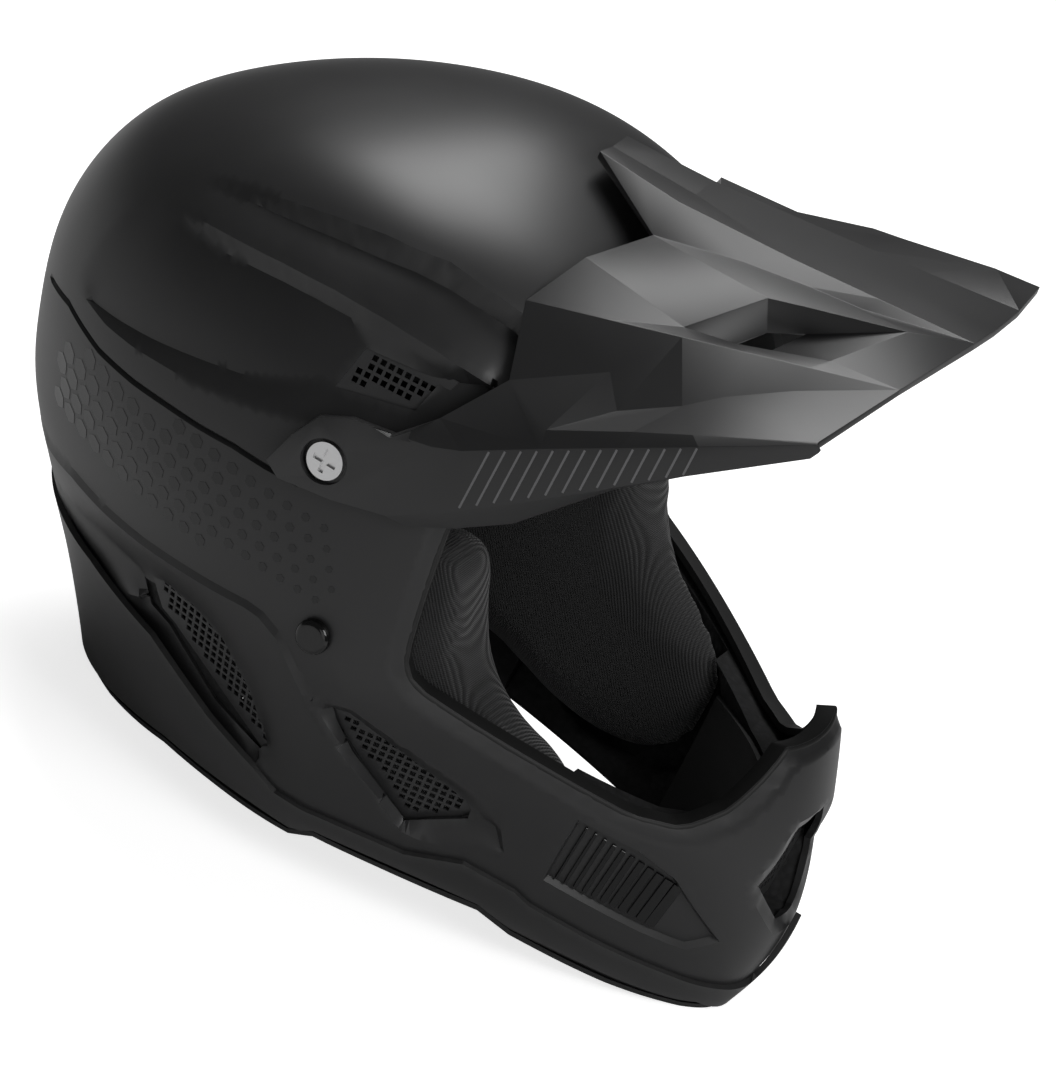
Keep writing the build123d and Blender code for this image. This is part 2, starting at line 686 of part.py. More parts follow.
def mesh_plate(outline, surface, place):
    """Holed plate that stays inside a curved surface behind a vent."""
    middle = [sum(values) / len(outline) for values in zip(*outline)]
    beside = [(middle[0] + mesh_pitch, middle[1]), (middle[0], middle[1] + mesh_pitch)]
    opposite = [(middle[0] - mesh_pitch, middle[1]), (middle[0], middle[1] - mesh_pitch)]
    slopes = [(surface(*far) - surface(*near)) / (2 * mesh_pitch) for far, near in zip(beside, opposite)]

    def rise(point):
        return sum(slope * (p - m) for slope, p, m in zip(slopes, point, middle))

    corners = []
    for point in outline:
        away = hypot(point[0] - middle[0], point[1] - middle[1])
        corners.append([m + (p - m) * (1 + 2 * mesh_margin / away) for p, m in zip(point, middle)])
    seat = min(surface(*corner) - rise(corner) for corner in corners)
    centre = Vector(*place(*middle, seat))
    steps = [Vector(*place(*spot, seat + rise(spot))) - centre for spot in beside]
    normal = steps[0].cross(steps[1])
    if normal.dot(Vector(*place(*middle, seat + mesh_pitch)) - centre) < 0:
        normal = normal * -1
    plane = Plane(origin=centre, x_dir=steps[0], z_dir=normal)
    local = [plane.to_local_coords(Vector(*place(*spot, seat + rise(spot)))) for spot in outline]
    local = [(spot.X, spot.Y) for spot in local]
    spans = [
        range(int(min(values) / mesh_pitch) - 1, int(max(values) / mesh_pitch) + 2) for values in zip(*local)
    ]
    holes = [(column * mesh_pitch, row * mesh_pitch) for column in spans[0] for row in spans[1]]
    holes = [spot for spot in holes if outline_room(spot, local) > mesh_hole_room]
    with BuildPart() as plate:
        with BuildSketch(plane):
            with BuildLine():
                Polyline(*local, close=True)
            make_face()
            offset(amount=mesh_margin, kind=Kind.INTERSECTION)
            with Locations(*holes):
                Rectangle(mesh_hole, mesh_hole, mode=Mode.SUBTRACT)
        extrude(amount=-mesh_thickness)
    print("mesh holes", len(holes))
    return plate.part


for vent, shares in vent_sets.items():
    with BuildPart() as right_mesh:
        add(mesh_plate(
            side_points(shares),
            lambda y, z: half_width_at((y, z), mesh_inset),
            lambda y, z, x: (-x, y, z),
        ))
    finish(right_mesh, vent + "_mesh_right")
    with BuildPart() as left_mesh:
        add(mirrored(right_mesh.part))
    finish(left_mesh, vent + "_mesh_left")

with BuildPart() as chin_vent_mesh:
    add(mesh_plate(
        front_points(chin_vent_shares),
        lambda x, z: -end_reach_at(x, z, mesh_inset, True),
        lambda x, z, y: (x, -y, z),
    ))
finish(chin_vent_mesh, "chin_vent_mesh")

with BuildPart() as exhaust_vent_mesh:
    add(mesh_plate(
        front_points(exhaust_vent_shares),
        lambda x, z: end_reach_at(x, z, mesh_inset, False),
        lambda x, z, y: (x, y, z),
    ))
finish(exhaust_vent_mesh, "exhaust_vent_mesh")

# Visor: a folded skin over two side arms that turn on the pivot screws
arm_slope = tan(radians(arm_taper))
arm_seat = pivot_half_width + arm_stand


def arm_inner(y):
    return arm_seat + arm_slope * (y - pivot[0])


def mitred(points, distance):
    """Open outline moved to its right by a distance."""
    moved = []
    for index, (x, z) in enumerate(points):
        before = points[max(index - 1, 0)]
        after = points[min(index + 1, len(points) - 1)]
        ahead = [(b[0] - a[0], b[1] - a[1]) for a, b in ((before, (x, z)), ((x, z), after)) if a != b]
        normals = [(dz / hypot(dx, dz), -dx / hypot(dx, dz)) for dx, dz in ahead]
        middle = [sum(values) / len(normals) for values in zip(*normals)]
        size = distance / (middle[0] ** 2 + middle[1] ** 2)
        moved.append((x + middle[0] * size, z + middle[1] * size))
    return moved


with BuildPart() as visor_skin:
    for y_share, arm_share, shares in visor_station_shares:
        y = crown_y + y_share * chin_reach
        near = [(-arm_inner(y) - arm_thickness / 2, arm_share * shell_height)] + front_points(shares)
        outline = near + [(-x, z) for x, z in reversed(near)]
        with BuildSketch(Plane.XZ.offset(-y)):
            with BuildLine():
                Polyline(*outline, *reversed(mitred(outline, visor_thickness)), close=True)
            make_face()
    loft(ruled=True)


def plan_prism(shares):
    """Plan outline carried through the whole height."""
    corners = [(x * shell_width / 2, crown_y + y * chin_reach) for x, y in shares]
    with BuildPart() as prism:
        with BuildSketch(Plane.XY):
            with BuildLine():
                Polyline(*corners, close=True)
            make_face()
        extrude(amount=2 * shell_height)
    return prism.part


visor_plan = [(-x, y) for x, y in visor_plan_shares] + [(x, y) for x, y in reversed(visor_plan_shares)]
wing_holes = [plan_prism([(side * x, y) for x, y in wing_hole_shares]) for side in sides.values()]
arms = []
for side in sides.values():
    arm_plane = Plane(
        origin=(side * arm_seat, *pivot), x_dir=(side * arm_slope, 1, 0), z_dir=(side, -arm_slope, 0),
    )
    flat = [
        arm_plane.to_local_coords(Vector(side * arm_inner(y), y, z)) for y, z in side_points(visor_arm_shares)
    ]
    with BuildPart() as arm:
        with BuildSketch(arm_plane):
            with BuildLine():
                Polyline(*[(spot.X, spot.Y) for spot in flat], close=True)
            make_face()
        extrude(amount=arm_thickness)
        add(side_rod(pivot, side * pivot_half_width, side * (arm_seat + arm_thickness), boss_radius))
    arms.append(arm.part)
head_seat = arm_seat + arm_thickness - screw_recess_depth
pivot_cuts = []
for side in sides.values():
    pivot_cuts.append(side_rod(pivot, side * head_seat, side * shell_width, screw_recess_radius))
    bore_radius = screw_shaft_radius + running_clearance
    pivot_cuts.append(side_rod(pivot, side * shell_width / 4, side * shell_width, bore_radius))

tab_inner = lock_boss_reach + lock_boss_gap
tab_outer = tab_inner + lock_tab_thickness
tab_angles = [lock_angle - radians(lock_tab_lower_angle), lock_angle + radians(lock_tab_upper_angle)]
with BuildPart() as lock_tab:
    with BuildSketch(Plane.YZ.offset(-lock_tab_width / 2)):
        with Locations(pivot):
            Circle(tab_outer)
            Circle(tab_inner, mode=Mode.SUBTRACT)
        with BuildLine():
            reach = 2 * tab_outer
            ends = [(pivot[0] - reach * cos(angle), pivot[1] + reach * sin(angle)) for angle in tab_angles]
            Polyline(pivot, *ends, close=True)
        make_face(mode=Mode.INTERSECT)
    extrude(amount=lock_tab_width)
with BuildPart() as lock_slot:
    with BuildSketch(lock_plane.offset(lock_boss_reach)):
        Rectangle(2 * (lock_shaft_radius + lock_slot_clearance), lock_slot_length)
    extrude(amount=lock_boss_gap + 2 * lock_tab_thickness)

with BuildPart() as visor:
    add(visor_skin.part)
    add(plan_prism(visor_plan), mode=Mode.INTERSECT)
    add(wing_holes, mode=Mode.SUBTRACT)
    add(arms)
    add(lock_tab.part)
    add(head_form(-visor_clearance), mode=Mode.SUBTRACT)
    add(pivot_cuts + [lock_slot.part], mode=Mode.SUBTRACT)
finish(visor, "visor")

for name, side in sides.items():
    head_top = head_seat + running_clearance + screw_head_height
    with BuildPart() as visor_screw:
        add(side_rod(pivot, side * (head_top - screw_head_height), side * head_top, screw_head_radius))
        add(side_rod(pivot, side * (nut_face - nut_flange_thickness), side * head_top, screw_shaft_radius))
        with BuildSketch(Plane.YZ.offset(side * head_top)):
            with Locations(pivot):
                Rectangle(cross_slot_length, cross_slot_width)
                Rectangle(cross_slot_width, cross_slot_length)
        extrude(amount=-side * cross_slot_depth, mode=Mode.SUBTRACT)
    finish(visor_screw, "visor_screw_" + name)

with BuildPart() as visor_nuts:
    for side in sides.values():
        add(side_rod(pivot, side * (nut_face - nut_flange_thickness), side * nut_face, nut_flange_radius))
        add(side_rod(pivot, side * nut_face, side * (nut_face + nut_barrel_length), nut_barrel_radius))
    add(side_rod(pivot, -shell_width, shell_width, screw_shaft_radius + running_clearance), mode=Mode.SUBTRACT)
finish(visor_nuts, "visor_nuts")

# Centre lock: washer and knob clamp the visor's slotted tab on the forehead boss
washer_seat = tab_outer + running_clearance
knob_seat = washer_seat + lock_washer_thickness
with BuildPart() as lock_washer:
    add(lock_disc(washer_seat, knob_seat, lock_washer_radius))
    add(lock_disc(lock_boss_reach, knob_seat, lock_shaft_radius + running_clearance), mode=Mode.SUBTRACT)
finish(lock_washer, "lock_washer")

with BuildPart() as lock_screw:
    add(lock_disc(knob_seat + running_clearance, knob_seat + lock_knob_height, lock_knob_radius))
    add(lock_disc(lock_boss_reach - lock_shaft_length, knob_seat + lock_knob_height, lock_shaft_radius))
    with BuildSketch(lock_plane.offset(knob_seat)):
        with PolarLocations(lock_knob_radius, lock_knob_flutes):
            Circle(lock_flute_radius)
    extrude(amount=lock_knob_height, mode=Mode.SUBTRACT)
finish(lock_screw, "lock_screw")

# Chin strap: rivets, anchor plates, straps, rings and keeper snap
rivet_seat = max(rim_widths(rivet_place, 0.0, rivet_head_radius)) + rivet_stand
rivet_inner = half_width_at(rivet_place, strap_floor) + seat_gap
with BuildPart() as strap_rivets:
    for side in sides.values():
        with BuildSketch(Plane.YZ.offset(side * rivet_seat)):
            with Locations(rivet_place):
                Circle(rivet_head_radius)
        extrude(amount=side * (rivet_flange + rivet_dome_height))
    domes = edges().filter_by(GeomType.CIRCLE).sort_by(Axis.X)
    fillet([domes[0], domes[-1]], rivet_dome_height)
    for side in sides.values():
        add(side_rod(rivet_place, side * rivet_inner, side * rivet_seat, rivet_shaft_radius))
finish(strap_rivets, "strap_rivets")

with BuildPart() as strap_anchor_plates:
    for side in sides.values():
        add(side_rod(rivet_place, side * plate_inner, side * plate_outer, anchor_plate_radius))
    add(rivet_bore, mode=Mode.SUBTRACT)
finish(strap_anchor_plates, "strap_anchor_plates")

right_band = layer(strap_seat, strap_floor, band_prism(-1, 0.0))
leg_low = leg_z - strap_thickness / 2
leg_high = leg_z + strap_thickness / 2
loop_z = leg_z - loop_drop
loop_half_height = ring_bar / 2 + loop_room
loop_half_width = ring_pitch / 2 + ring_bar / 2 + loop_room
with BuildPart() as chin_strap_left:
    add(mirrored(right_band))
    add(cross_block(1, ring_axis_x - strap_thickness / 2, leg_outer, leg_low, leg_high, strap_half))
    add(cross_block(
        1, ring_axis_x - strap_thickness / 2, ring_axis_x + strap_thickness / 2,
        loop_z + loop_half_height, leg_high, strap_half,
    ))
    add(cross_block(
        1, ring_axis_x - loop_half_width - strap_thickness, ring_axis_x + loop_half_width + strap_thickness,
        loop_z - loop_half_height - strap_thickness, loop_z + loop_half_height + strap_thickness, strap_half,
    ))
    add(cross_block(
        1, ring_axis_x - loop_half_width, ring_axis_x + loop_half_width,
        loop_z - loop_half_height, loop_z + loop_half_height, strap_width,
    ), mode=Mode.SUBTRACT)
    add(rivet_bore, mode=Mode.SUBTRACT)
finish(chin_strap_left, "chin_strap_left")

tuck_x = cheek_pad_inner_face - tuck_gap - strap_thickness
with BuildPart() as chin_strap_right:
    add(right_band)
    add(cross_block(-1, tuck_x, leg_outer, leg_low, leg_high, strap_half))
    add(cross_block(-1, tuck_x, tuck_x + strap_thickness, leg_low, leg_z + tuck_length, strap_half))
    add(rivet_bore, mode=Mode.SUBTRACT)
finish(chin_strap_right, "chin_strap_right")

snap_place = (strap_y, leg_z + tuck_length - snap_inset)
with BuildPart() as strap_keeper_snap:
    add(side_rod(snap_place, -tuck_x, -tuck_x + snap_height, snap_radius))
finish(strap_keeper_snap, "strap_keeper_snap")

for name, direction in {"ring_outer": 1, "ring_inner": -1}.items():
    ring_x = ring_axis_x + direction * ring_pitch / 2
    with BuildPart() as ring:
        with BuildSketch(Plane.YZ.offset(ring_x - ring_thickness / 2)):
            with Locations((strap_y, loop_z)):
                Circle(ring_radius)
                Circle(ring_radius - ring_bar, mode=Mode.SUBTRACT)
                Rectangle(3 * ring_radius, 2 * ring_radius, align=(Align.CENTER, Align.MIN), mode=Mode.SUBTRACT)
        extrude(amount=ring_thickness)
        with BuildSketch(Plane.XZ.offset(-strap_y - ring_radius)):
            with Locations((ring_x, loop_z)):
                Circle(ring_bar / 2)
        extrude(amount=2 * ring_radius)
    finish(ring, name)
print("ring hinge", round(ring_axis_x, 3), round(strap_y, 3), round(loop_z, 3))
print("pivot and lock", [round(value, 3) for value in (*pivot, degrees(lock_angle), tab_inner)])

with BuildPart() as cheek_snap_studs:
    for side in sides.values():
        for place, seat in zip(stud_places, stud_seats):
            add(side_rod(place, side * seat, side * (seat + stud_base_length), stud_base_radius))
            add(side_rod(place, side * (seat - stud_pin_length), side * seat, stud_pin_radius))
finish(cheek_snap_studs, "cheek_snap_studs")

with BuildPart() as cheek_snap_sockets:
    for side in sides.values():
        for place, seat in zip(stud_places, stud_seats):
            face = seat - seat_gap
            add(side_rod(place, side * (face - socket_height), side * face, stud_base_radius))
            pin_radius = stud_pin_radius + running_clearance
            add(side_rod(place, side * (seat - stud_room_depth), side * seat, pin_radius), mode=Mode.SUBTRACT)
finish(cheek_snap_sockets, "cheek_snap_sockets")
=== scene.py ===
import json
from math import ceil, cos, hypot, pi, radians, sin

import bpy
import numpy as np
from mathutils import Matrix, Vector, geometry


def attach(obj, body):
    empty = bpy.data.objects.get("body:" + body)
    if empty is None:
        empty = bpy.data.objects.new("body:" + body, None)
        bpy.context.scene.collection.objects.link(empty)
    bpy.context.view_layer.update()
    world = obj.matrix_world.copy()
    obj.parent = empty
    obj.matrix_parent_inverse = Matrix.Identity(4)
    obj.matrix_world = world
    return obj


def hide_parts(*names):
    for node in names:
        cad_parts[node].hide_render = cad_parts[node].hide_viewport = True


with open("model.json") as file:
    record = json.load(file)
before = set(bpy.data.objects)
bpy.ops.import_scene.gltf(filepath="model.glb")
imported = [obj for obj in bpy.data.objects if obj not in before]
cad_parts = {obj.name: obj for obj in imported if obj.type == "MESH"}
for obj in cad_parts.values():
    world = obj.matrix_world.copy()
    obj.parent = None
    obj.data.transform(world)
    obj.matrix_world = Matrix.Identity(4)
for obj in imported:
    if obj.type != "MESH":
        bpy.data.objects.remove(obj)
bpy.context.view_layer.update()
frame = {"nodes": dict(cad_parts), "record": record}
bpy.ops.object.select_all(action="DESELECT")
print("frame loaded")

mm = 0.001
# Sizes below are in millimetres of the head frame: X 0 on the middle plane, -Y forward, Z up from the floor
headSize = {"halfWidth": 120.0, "chinReach": 204.0, "rearReach": 154.0, "height": 266.0, "crownY": 24.49}
sightCentre = np.array((0.0, -29.0, 128.0))  # every surface point is seen from here
# Height, half width, front and rear reach, place of the widest point, power of the front curve
sectionShares = np.array([
    (0.000, 0.600, 0.945, 0.570, -0.22, 1.2),
    (0.075, 0.740, 0.980, 0.620, -0.22, 1.2),
    (0.170, 0.845, 0.995, 0.710, -0.22, 1.2),
    (0.263, 0.920, 0.985, 0.825, -0.22, 1.2),
    (0.357, 0.980, 0.950, 0.930, -0.22, 1.2),
    (0.451, 1.000, 0.900, 0.975, -0.10, 1.6),
    (0.564, 1.000, 0.820, 1.000, 0.00, 2.0),
    (0.677, 0.975, 0.725, 0.970, 0.02, 2.0),
    (0.770, 0.925, 0.630, 0.880, 0.02, 2.0),
    (0.846, 0.850, 0.530, 0.735, 0.01, 2.0),
    (0.910, 0.735, 0.410, 0.555, 0.00, 2.0),
    (0.955, 0.555, 0.270, 0.370, 0.00, 2.0),
    (0.985, 0.310, 0.145, 0.200, 0.00, 2.0),
    (1.000, 0.000, 0.000, 0.000, 0.00, 2.0),
])
camera = {
    "azimuth": 74.85, "elevation": 26.62, "roll": 24.38, "distance": 1980.0, "focal": 5445.0,
    "aim": (0.0, -29.02, 128.27), "aimPixel": (479.0, 489.0), "imageSize": (1056.0, 1080.0), "sensor": 36.0,
}


# The camera comes first, because feature lines are read off the photograph through it
def cameraAxes():
    a, e, r = (radians(camera[name]) for name in ("azimuth", "elevation", "roll"))
    back = np.array((-sin(a) * cos(e), -cos(a) * cos(e), sin(e)))
    level = np.array((cos(a), -sin(a), 0.0))
    upright = np.array((sin(a) * sin(e), cos(a) * sin(e), cos(e)))
    return cos(r) * level + sin(r) * upright, -sin(r) * level + cos(r) * upright, back


across, upwards, back = cameraAxes()
scaleAtAim = camera["distance"] / camera["focal"]
offAxis = [camera["imageSize"][i] / 2 - camera["aimPixel"][i] for i in (0, 1)]
aside = (across * offAxis[0] - upwards * offAxis[1]) * scaleAtAim
eye = np.array(camera["aim"]) + back * camera["distance"] + aside


def addCamera():
    lens = bpy.data.cameras.new("photoCamera")
    lens.sensor_width = camera["sensor"]
    lens.lens = camera["focal"] * camera["sensor"] / max(camera["imageSize"])
    lens.clip_end = 20
    holder = bpy.data.objects.new("photoCamera", lens)
    bpy.context.scene.collection.objects.link(holder)
    turn = Matrix((across, upwards, back)).transposed().to_4x4()
    holder.matrix_world = Matrix.Translation(Vector(eye + (0, headSize["crownY"], 0)) * mm) @ turn
    bpy.context.scene.camera = holder


addCamera()


# The head's surface
def bendOf(places, values):
    # Second derivatives of a natural cubic curve
    count = len(places)
    gap = np.diff(places)
    system = np.eye(count)
    target = np.zeros_like(values)
    for i in range(1, count - 1):
        system[i, i - 1:i + 2] = gap[i - 1], 2 * (gap[i - 1] + gap[i]), gap[i]
        target[i] = 6 * ((values[i + 1] - values[i]) / gap[i] - (values[i] - values[i - 1]) / gap[i - 1])
    return np.linalg.solve(system, target)


rowPlaces = 1 - np.sqrt(1 - sectionShares[:, 0])
rowBends = bendOf(rowPlaces, sectionShares[:, 1:])


def sectionAt(z, grow):
    share = np.clip(z / (headSize["height"] + grow), 0, 0.99999)
    place = 1 - np.sqrt(1 - share)
    i = np.clip(np.searchsorted(rowPlaces, place) - 1, 0, len(rowPlaces) - 2)
    gap = (rowPlaces[i + 1] - rowPlaces[i])[..., None]
    after = (place - rowPlaces[i])[..., None] / gap
    before = 1 - after
    bends = (before ** 3 - before) * rowBends[i] + (after ** 3 - after) * rowBends[i + 1]
    row = before * sectionShares[i, 1:] + after * sectionShares[i + 1, 1:] + gap ** 2 / 6 * bends
    middle = row[..., 3] * headSize["chinReach"]
    width = row[..., 0] * (headSize["halfWidth"] + grow)
    front = row[..., 1] * (headSize["chinReach"] + grow) + middle
    rear = row[..., 2] * (headSize["rearReach"] + grow) - middle
    return [np.maximum(size, 0.01) for size in (width, front, rear)] + [middle, row[..., 4]]


def outerness(points, grow):
    # Below zero inside the surface, above zero outside it
    width, front, rear, middle, power = sectionAt(points[..., 2], grow)
    along = points[..., 1] - middle
    reach = np.where(along < 0, front, rear)
    curve = np.where(along < 0, power, 2.0)
    value = (points[..., 0] / width) ** 2 + (np.abs(along) / reach) ** curve - 1
    return np.where(points[..., 2] > headSize["height"] + grow, 9.0, value)


def flankPoints(sidePoints):
    # Points of the right flank from their Y and Z, on the middle plane where the head ends before them
    y, z = np.array(sidePoints, float)[:, :2].T
    width, front, rear, middle, power = sectionAt(z, 0.0)
    along = y - middle
    reach = np.where(along < 0, front, rear)
    left = 1 - (np.abs(along) / reach) ** np.where(along < 0, power, 2.0)
    return np.stack([-width * np.sqrt(np.maximum(left, 0)), y, z], -1)


def toMap(points):
    # Flat map of the right half, whose middle is the flank and whose rim is the middle plane
    away = np.asarray(points, float) - sightCentre
    angle = np.arccos(np.clip(-away[..., 0] / np.linalg.norm(away, axis=-1), -1, 1))
    flat = np.hypot(away[..., 1], away[..., 2]) + 1e-12
    return np.stack([angle * away[..., 1] / flat, angle * away[..., 2] / flat], -1)


def firstCrossing(start, ray, near, far, grow):
    # Point where each ray from inside meets the surface, between two distances
    for _ in range(40):
        middle = (near + far) / 2
        out = outerness(start + ray * middle[:, None], grow) > 0
        far = np.where(out, middle, far)
        near = np.where(out, near, middle)
    return start + ray * far[:, None]


def toSurface(spots, grow=0.0):
    # Points and outward normals of the surface at places of the map
    angle = np.linalg.norm(spots, axis=-1)
    turn = np.sin(angle) / np.maximum(angle, 1e-12)
    ray = np.stack([-np.cos(angle), spots[..., 0] * turn, spots[..., 1] * turn], -1)
    points = firstCrossing(sightCentre, ray, np.zeros(len(spots)), np.full(len(spots), 420.0), grow)
    slope = np.stack([
        outerness(points + step, grow) - outerness(points - step, grow) for step in np.eye(3) * 0.3
    ], -1)
    return points, slope / np.linalg.norm(slope, axis=-1)[:, None]


def photoRays(pixels):
    pixels = np.array(pixels, float)
    half = np.array(camera["imageSize"]) / 2
    ray = (pixels[:, :1] - half[0]) * across + (half[1] - pixels[:, 1:2]) * upwards - back * camera["focal"]
    return ray / np.linalg.norm(ray, axis=1)[:, None]


def onPhoto(line):
    # Map places and depths of a line given as photo pixels, each with its depth on the surface
    line = np.array(line, float)
    ray = photoRays(line)
    distances = np.arange(camera["distance"] - 330, camera["distance"] + 330, 1.5)
    trail = eye + ray[:, None, :] * distances[None, :, None]
    value = outerness(trail, line[:, 2:3])
    hits = value < 0
    first = np.where(hits.any(1), hits.argmax(1), value.argmin(1))
    found = distances[first]
    points = firstCrossing(eye, ray, found.copy(), found - 1.5, line[:, 2])
    points = np.where(hits.any(1)[:, None], points, trail[np.arange(len(line)), first])
    points[:, 0] = np.minimum(points[:, 0], 0)
    return toMap(points), line[:, 2]


def onSide(line, depth=0.0):
    # The same for a line given by Y and Z.
    return toMap(flankPoints(line)), np.full(len(line), depth)


def joined(*lines):
    return np.concatenate([line[0] for line in lines]), np.concatenate([line[1] for line in lines])


def insidePolygon(spots, polygon):
    inside = np.zeros(len(spots), bool)
    x, y = spots[:, 0], spots[:, 1]
    for (x1, y1), (x2, y2) in zip(polygon, np.roll(polygon, -1, 0)):
        if y1 != y2:
            inside ^= ((y1 > y) != (y2 > y)) & (x < (x2 - x1) * (y - y1) / (y2 - y1) + x1)
    return inside


def resampled(spots, depths, step, closed):
    # The same line with points no further apart than the step
    count = len(spots)
    made, madeDepths = [], []
    for i in range(count if closed else count - 1):
        j = (i + 1) % count
        parts = max(1, int(ceil(hypot(*(spots[j] - spots[i])) / step)))
        for k in range(parts):
            made.append(spots[i] + (spots[j] - spots[i]) * k / parts)
            madeDepths.append(depths[i] + (depths[j] - depths[i]) * k / parts)
    if not closed:
        made.append(spots[-1])
        madeDepths.append(depths[-1])
    return np.array(made), np.array(madeDepths)


def movedIn(spots, distance):
    # Closed outline moved inwards on the map
    area = np.sum(spots[:, 0] * np.roll(spots[:, 1], -1) - np.roll(spots[:, 0], -1) * spots[:, 1])
    ahead = np.roll(spots, -1, 0) - spots
    ahead /= np.linalg.norm(ahead, axis=1)[:, None]
    normal = np.stack([-ahead[:, 1], ahead[:, 0]], -1) * np.sign(area)
    both = normal + np.roll(normal, 1, 0)
    both /= np.maximum(np.sum(both * normal, 1), 0.5)[:, None]
    return spots + both * distance


def beside(line, distance):
    # Open line moved sideways on the map, to its left
    spots, depths = line
    ahead = np.gradient(spots, axis=0)
    ahead /= np.linalg.norm(ahead, axis=1)[:, None]
    return spots + np.stack([-ahead[:, 1], ahead[:, 0]], -1) * distance, depths


onMap = 1 / 150.0  # millimetres to map units, about right all over the helmet


def evenDepths(faces, given, loose):
    # Depths between the lines that give them, stretched evenly like a skin
    pairs = np.concatenate([faces[:, [0, 1]], faces[:, [1, 2]], faces[:, [2, 0]]])
    a, b = np.unique(np.sort(pairs, 1), axis=0).T
    count = len(given)
    degree = np.bincount(a, minlength=count) + np.bincount(b, minlength=count)

    def pull(field):
        around = np.bincount(a, field[b], count) + np.bincount(b, field[a], count)
        return np.where(loose, degree * field - around, 0.0)

    depth = np.where(np.isnan(given), 0.0, given)
    left = -pull(depth)
    step, size = left.copy(), left @ left
    for _ in range(400):
        if size < 1e-9:
            break
        pulled = pull(step)
        share = size / (step @ pulled)
        depth = depth + share * step
        left = left - share * pulled
        newSize = left @ left
        step = left + newSize / size * step
        size = newSize
    return depth


def panelMesh(name, spacing, keep, cuts, regions, grow=0.0):
    # Right half of a panel of the head's surface, whose edges and creases follow the given lines
    points, edges, values = [], [], []

    def addLine(spots, depths, closed):
        spots, depths = resampled(spots, depths, spacing * 0.8, closed)
        first = sum(len(p) for p in points)
        points.append(spots)
        values.append(depths)
        count = len(spots)
        edges.extend((first + i, first + (i + 1) % count) for i in range(count if closed else count - 1))

    rim = np.linspace(0, 2 * pi, int(pi * pi / spacing), endpoint=False)
    addLine(np.stack([np.cos(rim), np.sin(rim)], -1) * pi / 2, np.full(len(rim), np.nan), True)
    for outline in keep + cuts:
        addLine(outline, np.full(len(outline), np.nan), True)
    for region in regions:
        addLine(*region["outline"], True)
        if "wall" in region:
            width, depth = region["wall"]
            addLine(
                movedIn(region["outline"][0], width * onMap), np.full(len(region["outline"][0]), depth),
                True,
            )
        for line in region.get("lines", []):
            addLine(*line, False)
    fixed, fixedValues = np.concatenate(points), np.concatenate(values)
    steps = np.arange(-pi / 2, pi / 2, spacing)
    grid = np.array([
        (u + (row % 2) * spacing / 2, v)
        for row, v in enumerate(np.arange(-pi / 2, pi / 2, spacing * 0.866)) for u in steps
    ])
    kept = np.zeros(len(grid), bool) if keep else np.ones(len(grid), bool)
    for outline in keep:
        kept |= insidePolygon(grid, outline)
    for outline in cuts:
        kept &= ~insidePolygon(grid, outline)
    grid = grid[kept & (np.linalg.norm(grid, axis=1) < pi / 2 - spacing * 0.5)]
    cells = {}
    for spot in fixed:
        cells.setdefault((int(spot[0] // spacing), int(spot[1] // spacing)), []).append(spot)
    free = []
    for spot in grid:
        u, v = int(spot[0] // spacing), int(spot[1] // spacing)
        near = [p for i in (-1, 0, 1) for j in (-1, 0, 1) for p in cells.get((u + i, v + j), [])]
        if not near or min(np.hypot(*(np.array(near) - spot).T)) > spacing * 0.55:
            free.append(spot)
    everything = np.concatenate([fixed, np.array(free)]) if free else fixed
    made = geometry.delaunay_2d_cdt([tuple(p) for p in everything], edges, [], 0, 1e-6, True)
    spots = np.array([tuple(v) for v in made[0]])
    faces = np.array([list(f) for f in made[2]])
    middles = spots[faces].mean(1)
    wanted = np.zeros(len(faces), bool) if keep else np.ones(len(faces), bool)
    for outline in keep:
        wanted |= insidePolygon(middles, outline)
    for outline in cuts:
        wanted &= ~insidePolygon(middles, outline)
    faces = faces[wanted & (np.linalg.norm(middles, axis=1) < pi / 2 - 1e-5)]
    used = np.unique(faces)
    index = np.full(len(spots), -1)
    index[used] = np.arange(len(used))
    faces = index[faces]
    given = np.full(len(spots), np.nan)
    for i in used:
        known = [
            fixedValues[s]
            for s in made[3][i] if s < len(fixedValues) and not np.isnan(fixedValues[s])
        ]
        if known:
            given[i] = max(known, key=abs)
    spots, given = spots[used], given[used]
    loose = np.zeros(len(spots), bool)
    for region in regions:
        loose |= insidePolygon(spots, region["outline"][0])
    depth = evenDepths(faces, given, loose & np.isnan(given))
    places, normals = toSurface(spots, grow)
    places = places + normals * depth[:, None]
    places[np.abs(np.linalg.norm(spots, axis=1) - pi / 2) < 1e-4, 0] = 0.0
    return meshObject(name, places, faces[:, ::-1].tolist())


def meshObject(name, places, faces):
    # Object at the origin from points in millimetres of the head frame
    mesh = bpy.data.meshes.new(name)
    mesh.from_pydata(((np.asarray(places) + (0, headSize["crownY"], 0)) * mm).tolist(), [], faces)
    mesh.validate()
    made = bpy.data.objects.new(name, mesh)
    bpy.context.scene.collection.objects.link(made)
    return made


def applied(piece, kind, **settings):
    # Adds one modifier and applies it
    modifier = piece.modifiers.new(kind.lower(), kind)
    for name, value in settings.items():
        setattr(modifier, name, value)
    bpy.ops.object.select_all(action="DESELECT")
    bpy.context.view_layer.objects.active = piece
    piece.select_set(True)
    bpy.ops.object.modifier_apply(modifier=modifier.name)
    piece.select_set(False)


def smoothShaded(piece, degrees):
    bpy.ops.object.select_all(action="DESELECT")
    bpy.context.view_layer.objects.active = piece
    piece.select_set(True)
    bpy.ops.object.shade_smooth_by_angle(angle=radians(degrees))
    piece.select_set(False)


def bothSides(piece):
    applied(piece, "MIRROR", use_axis=(True, False, False), use_clip=True, merge_threshold=0.00005)


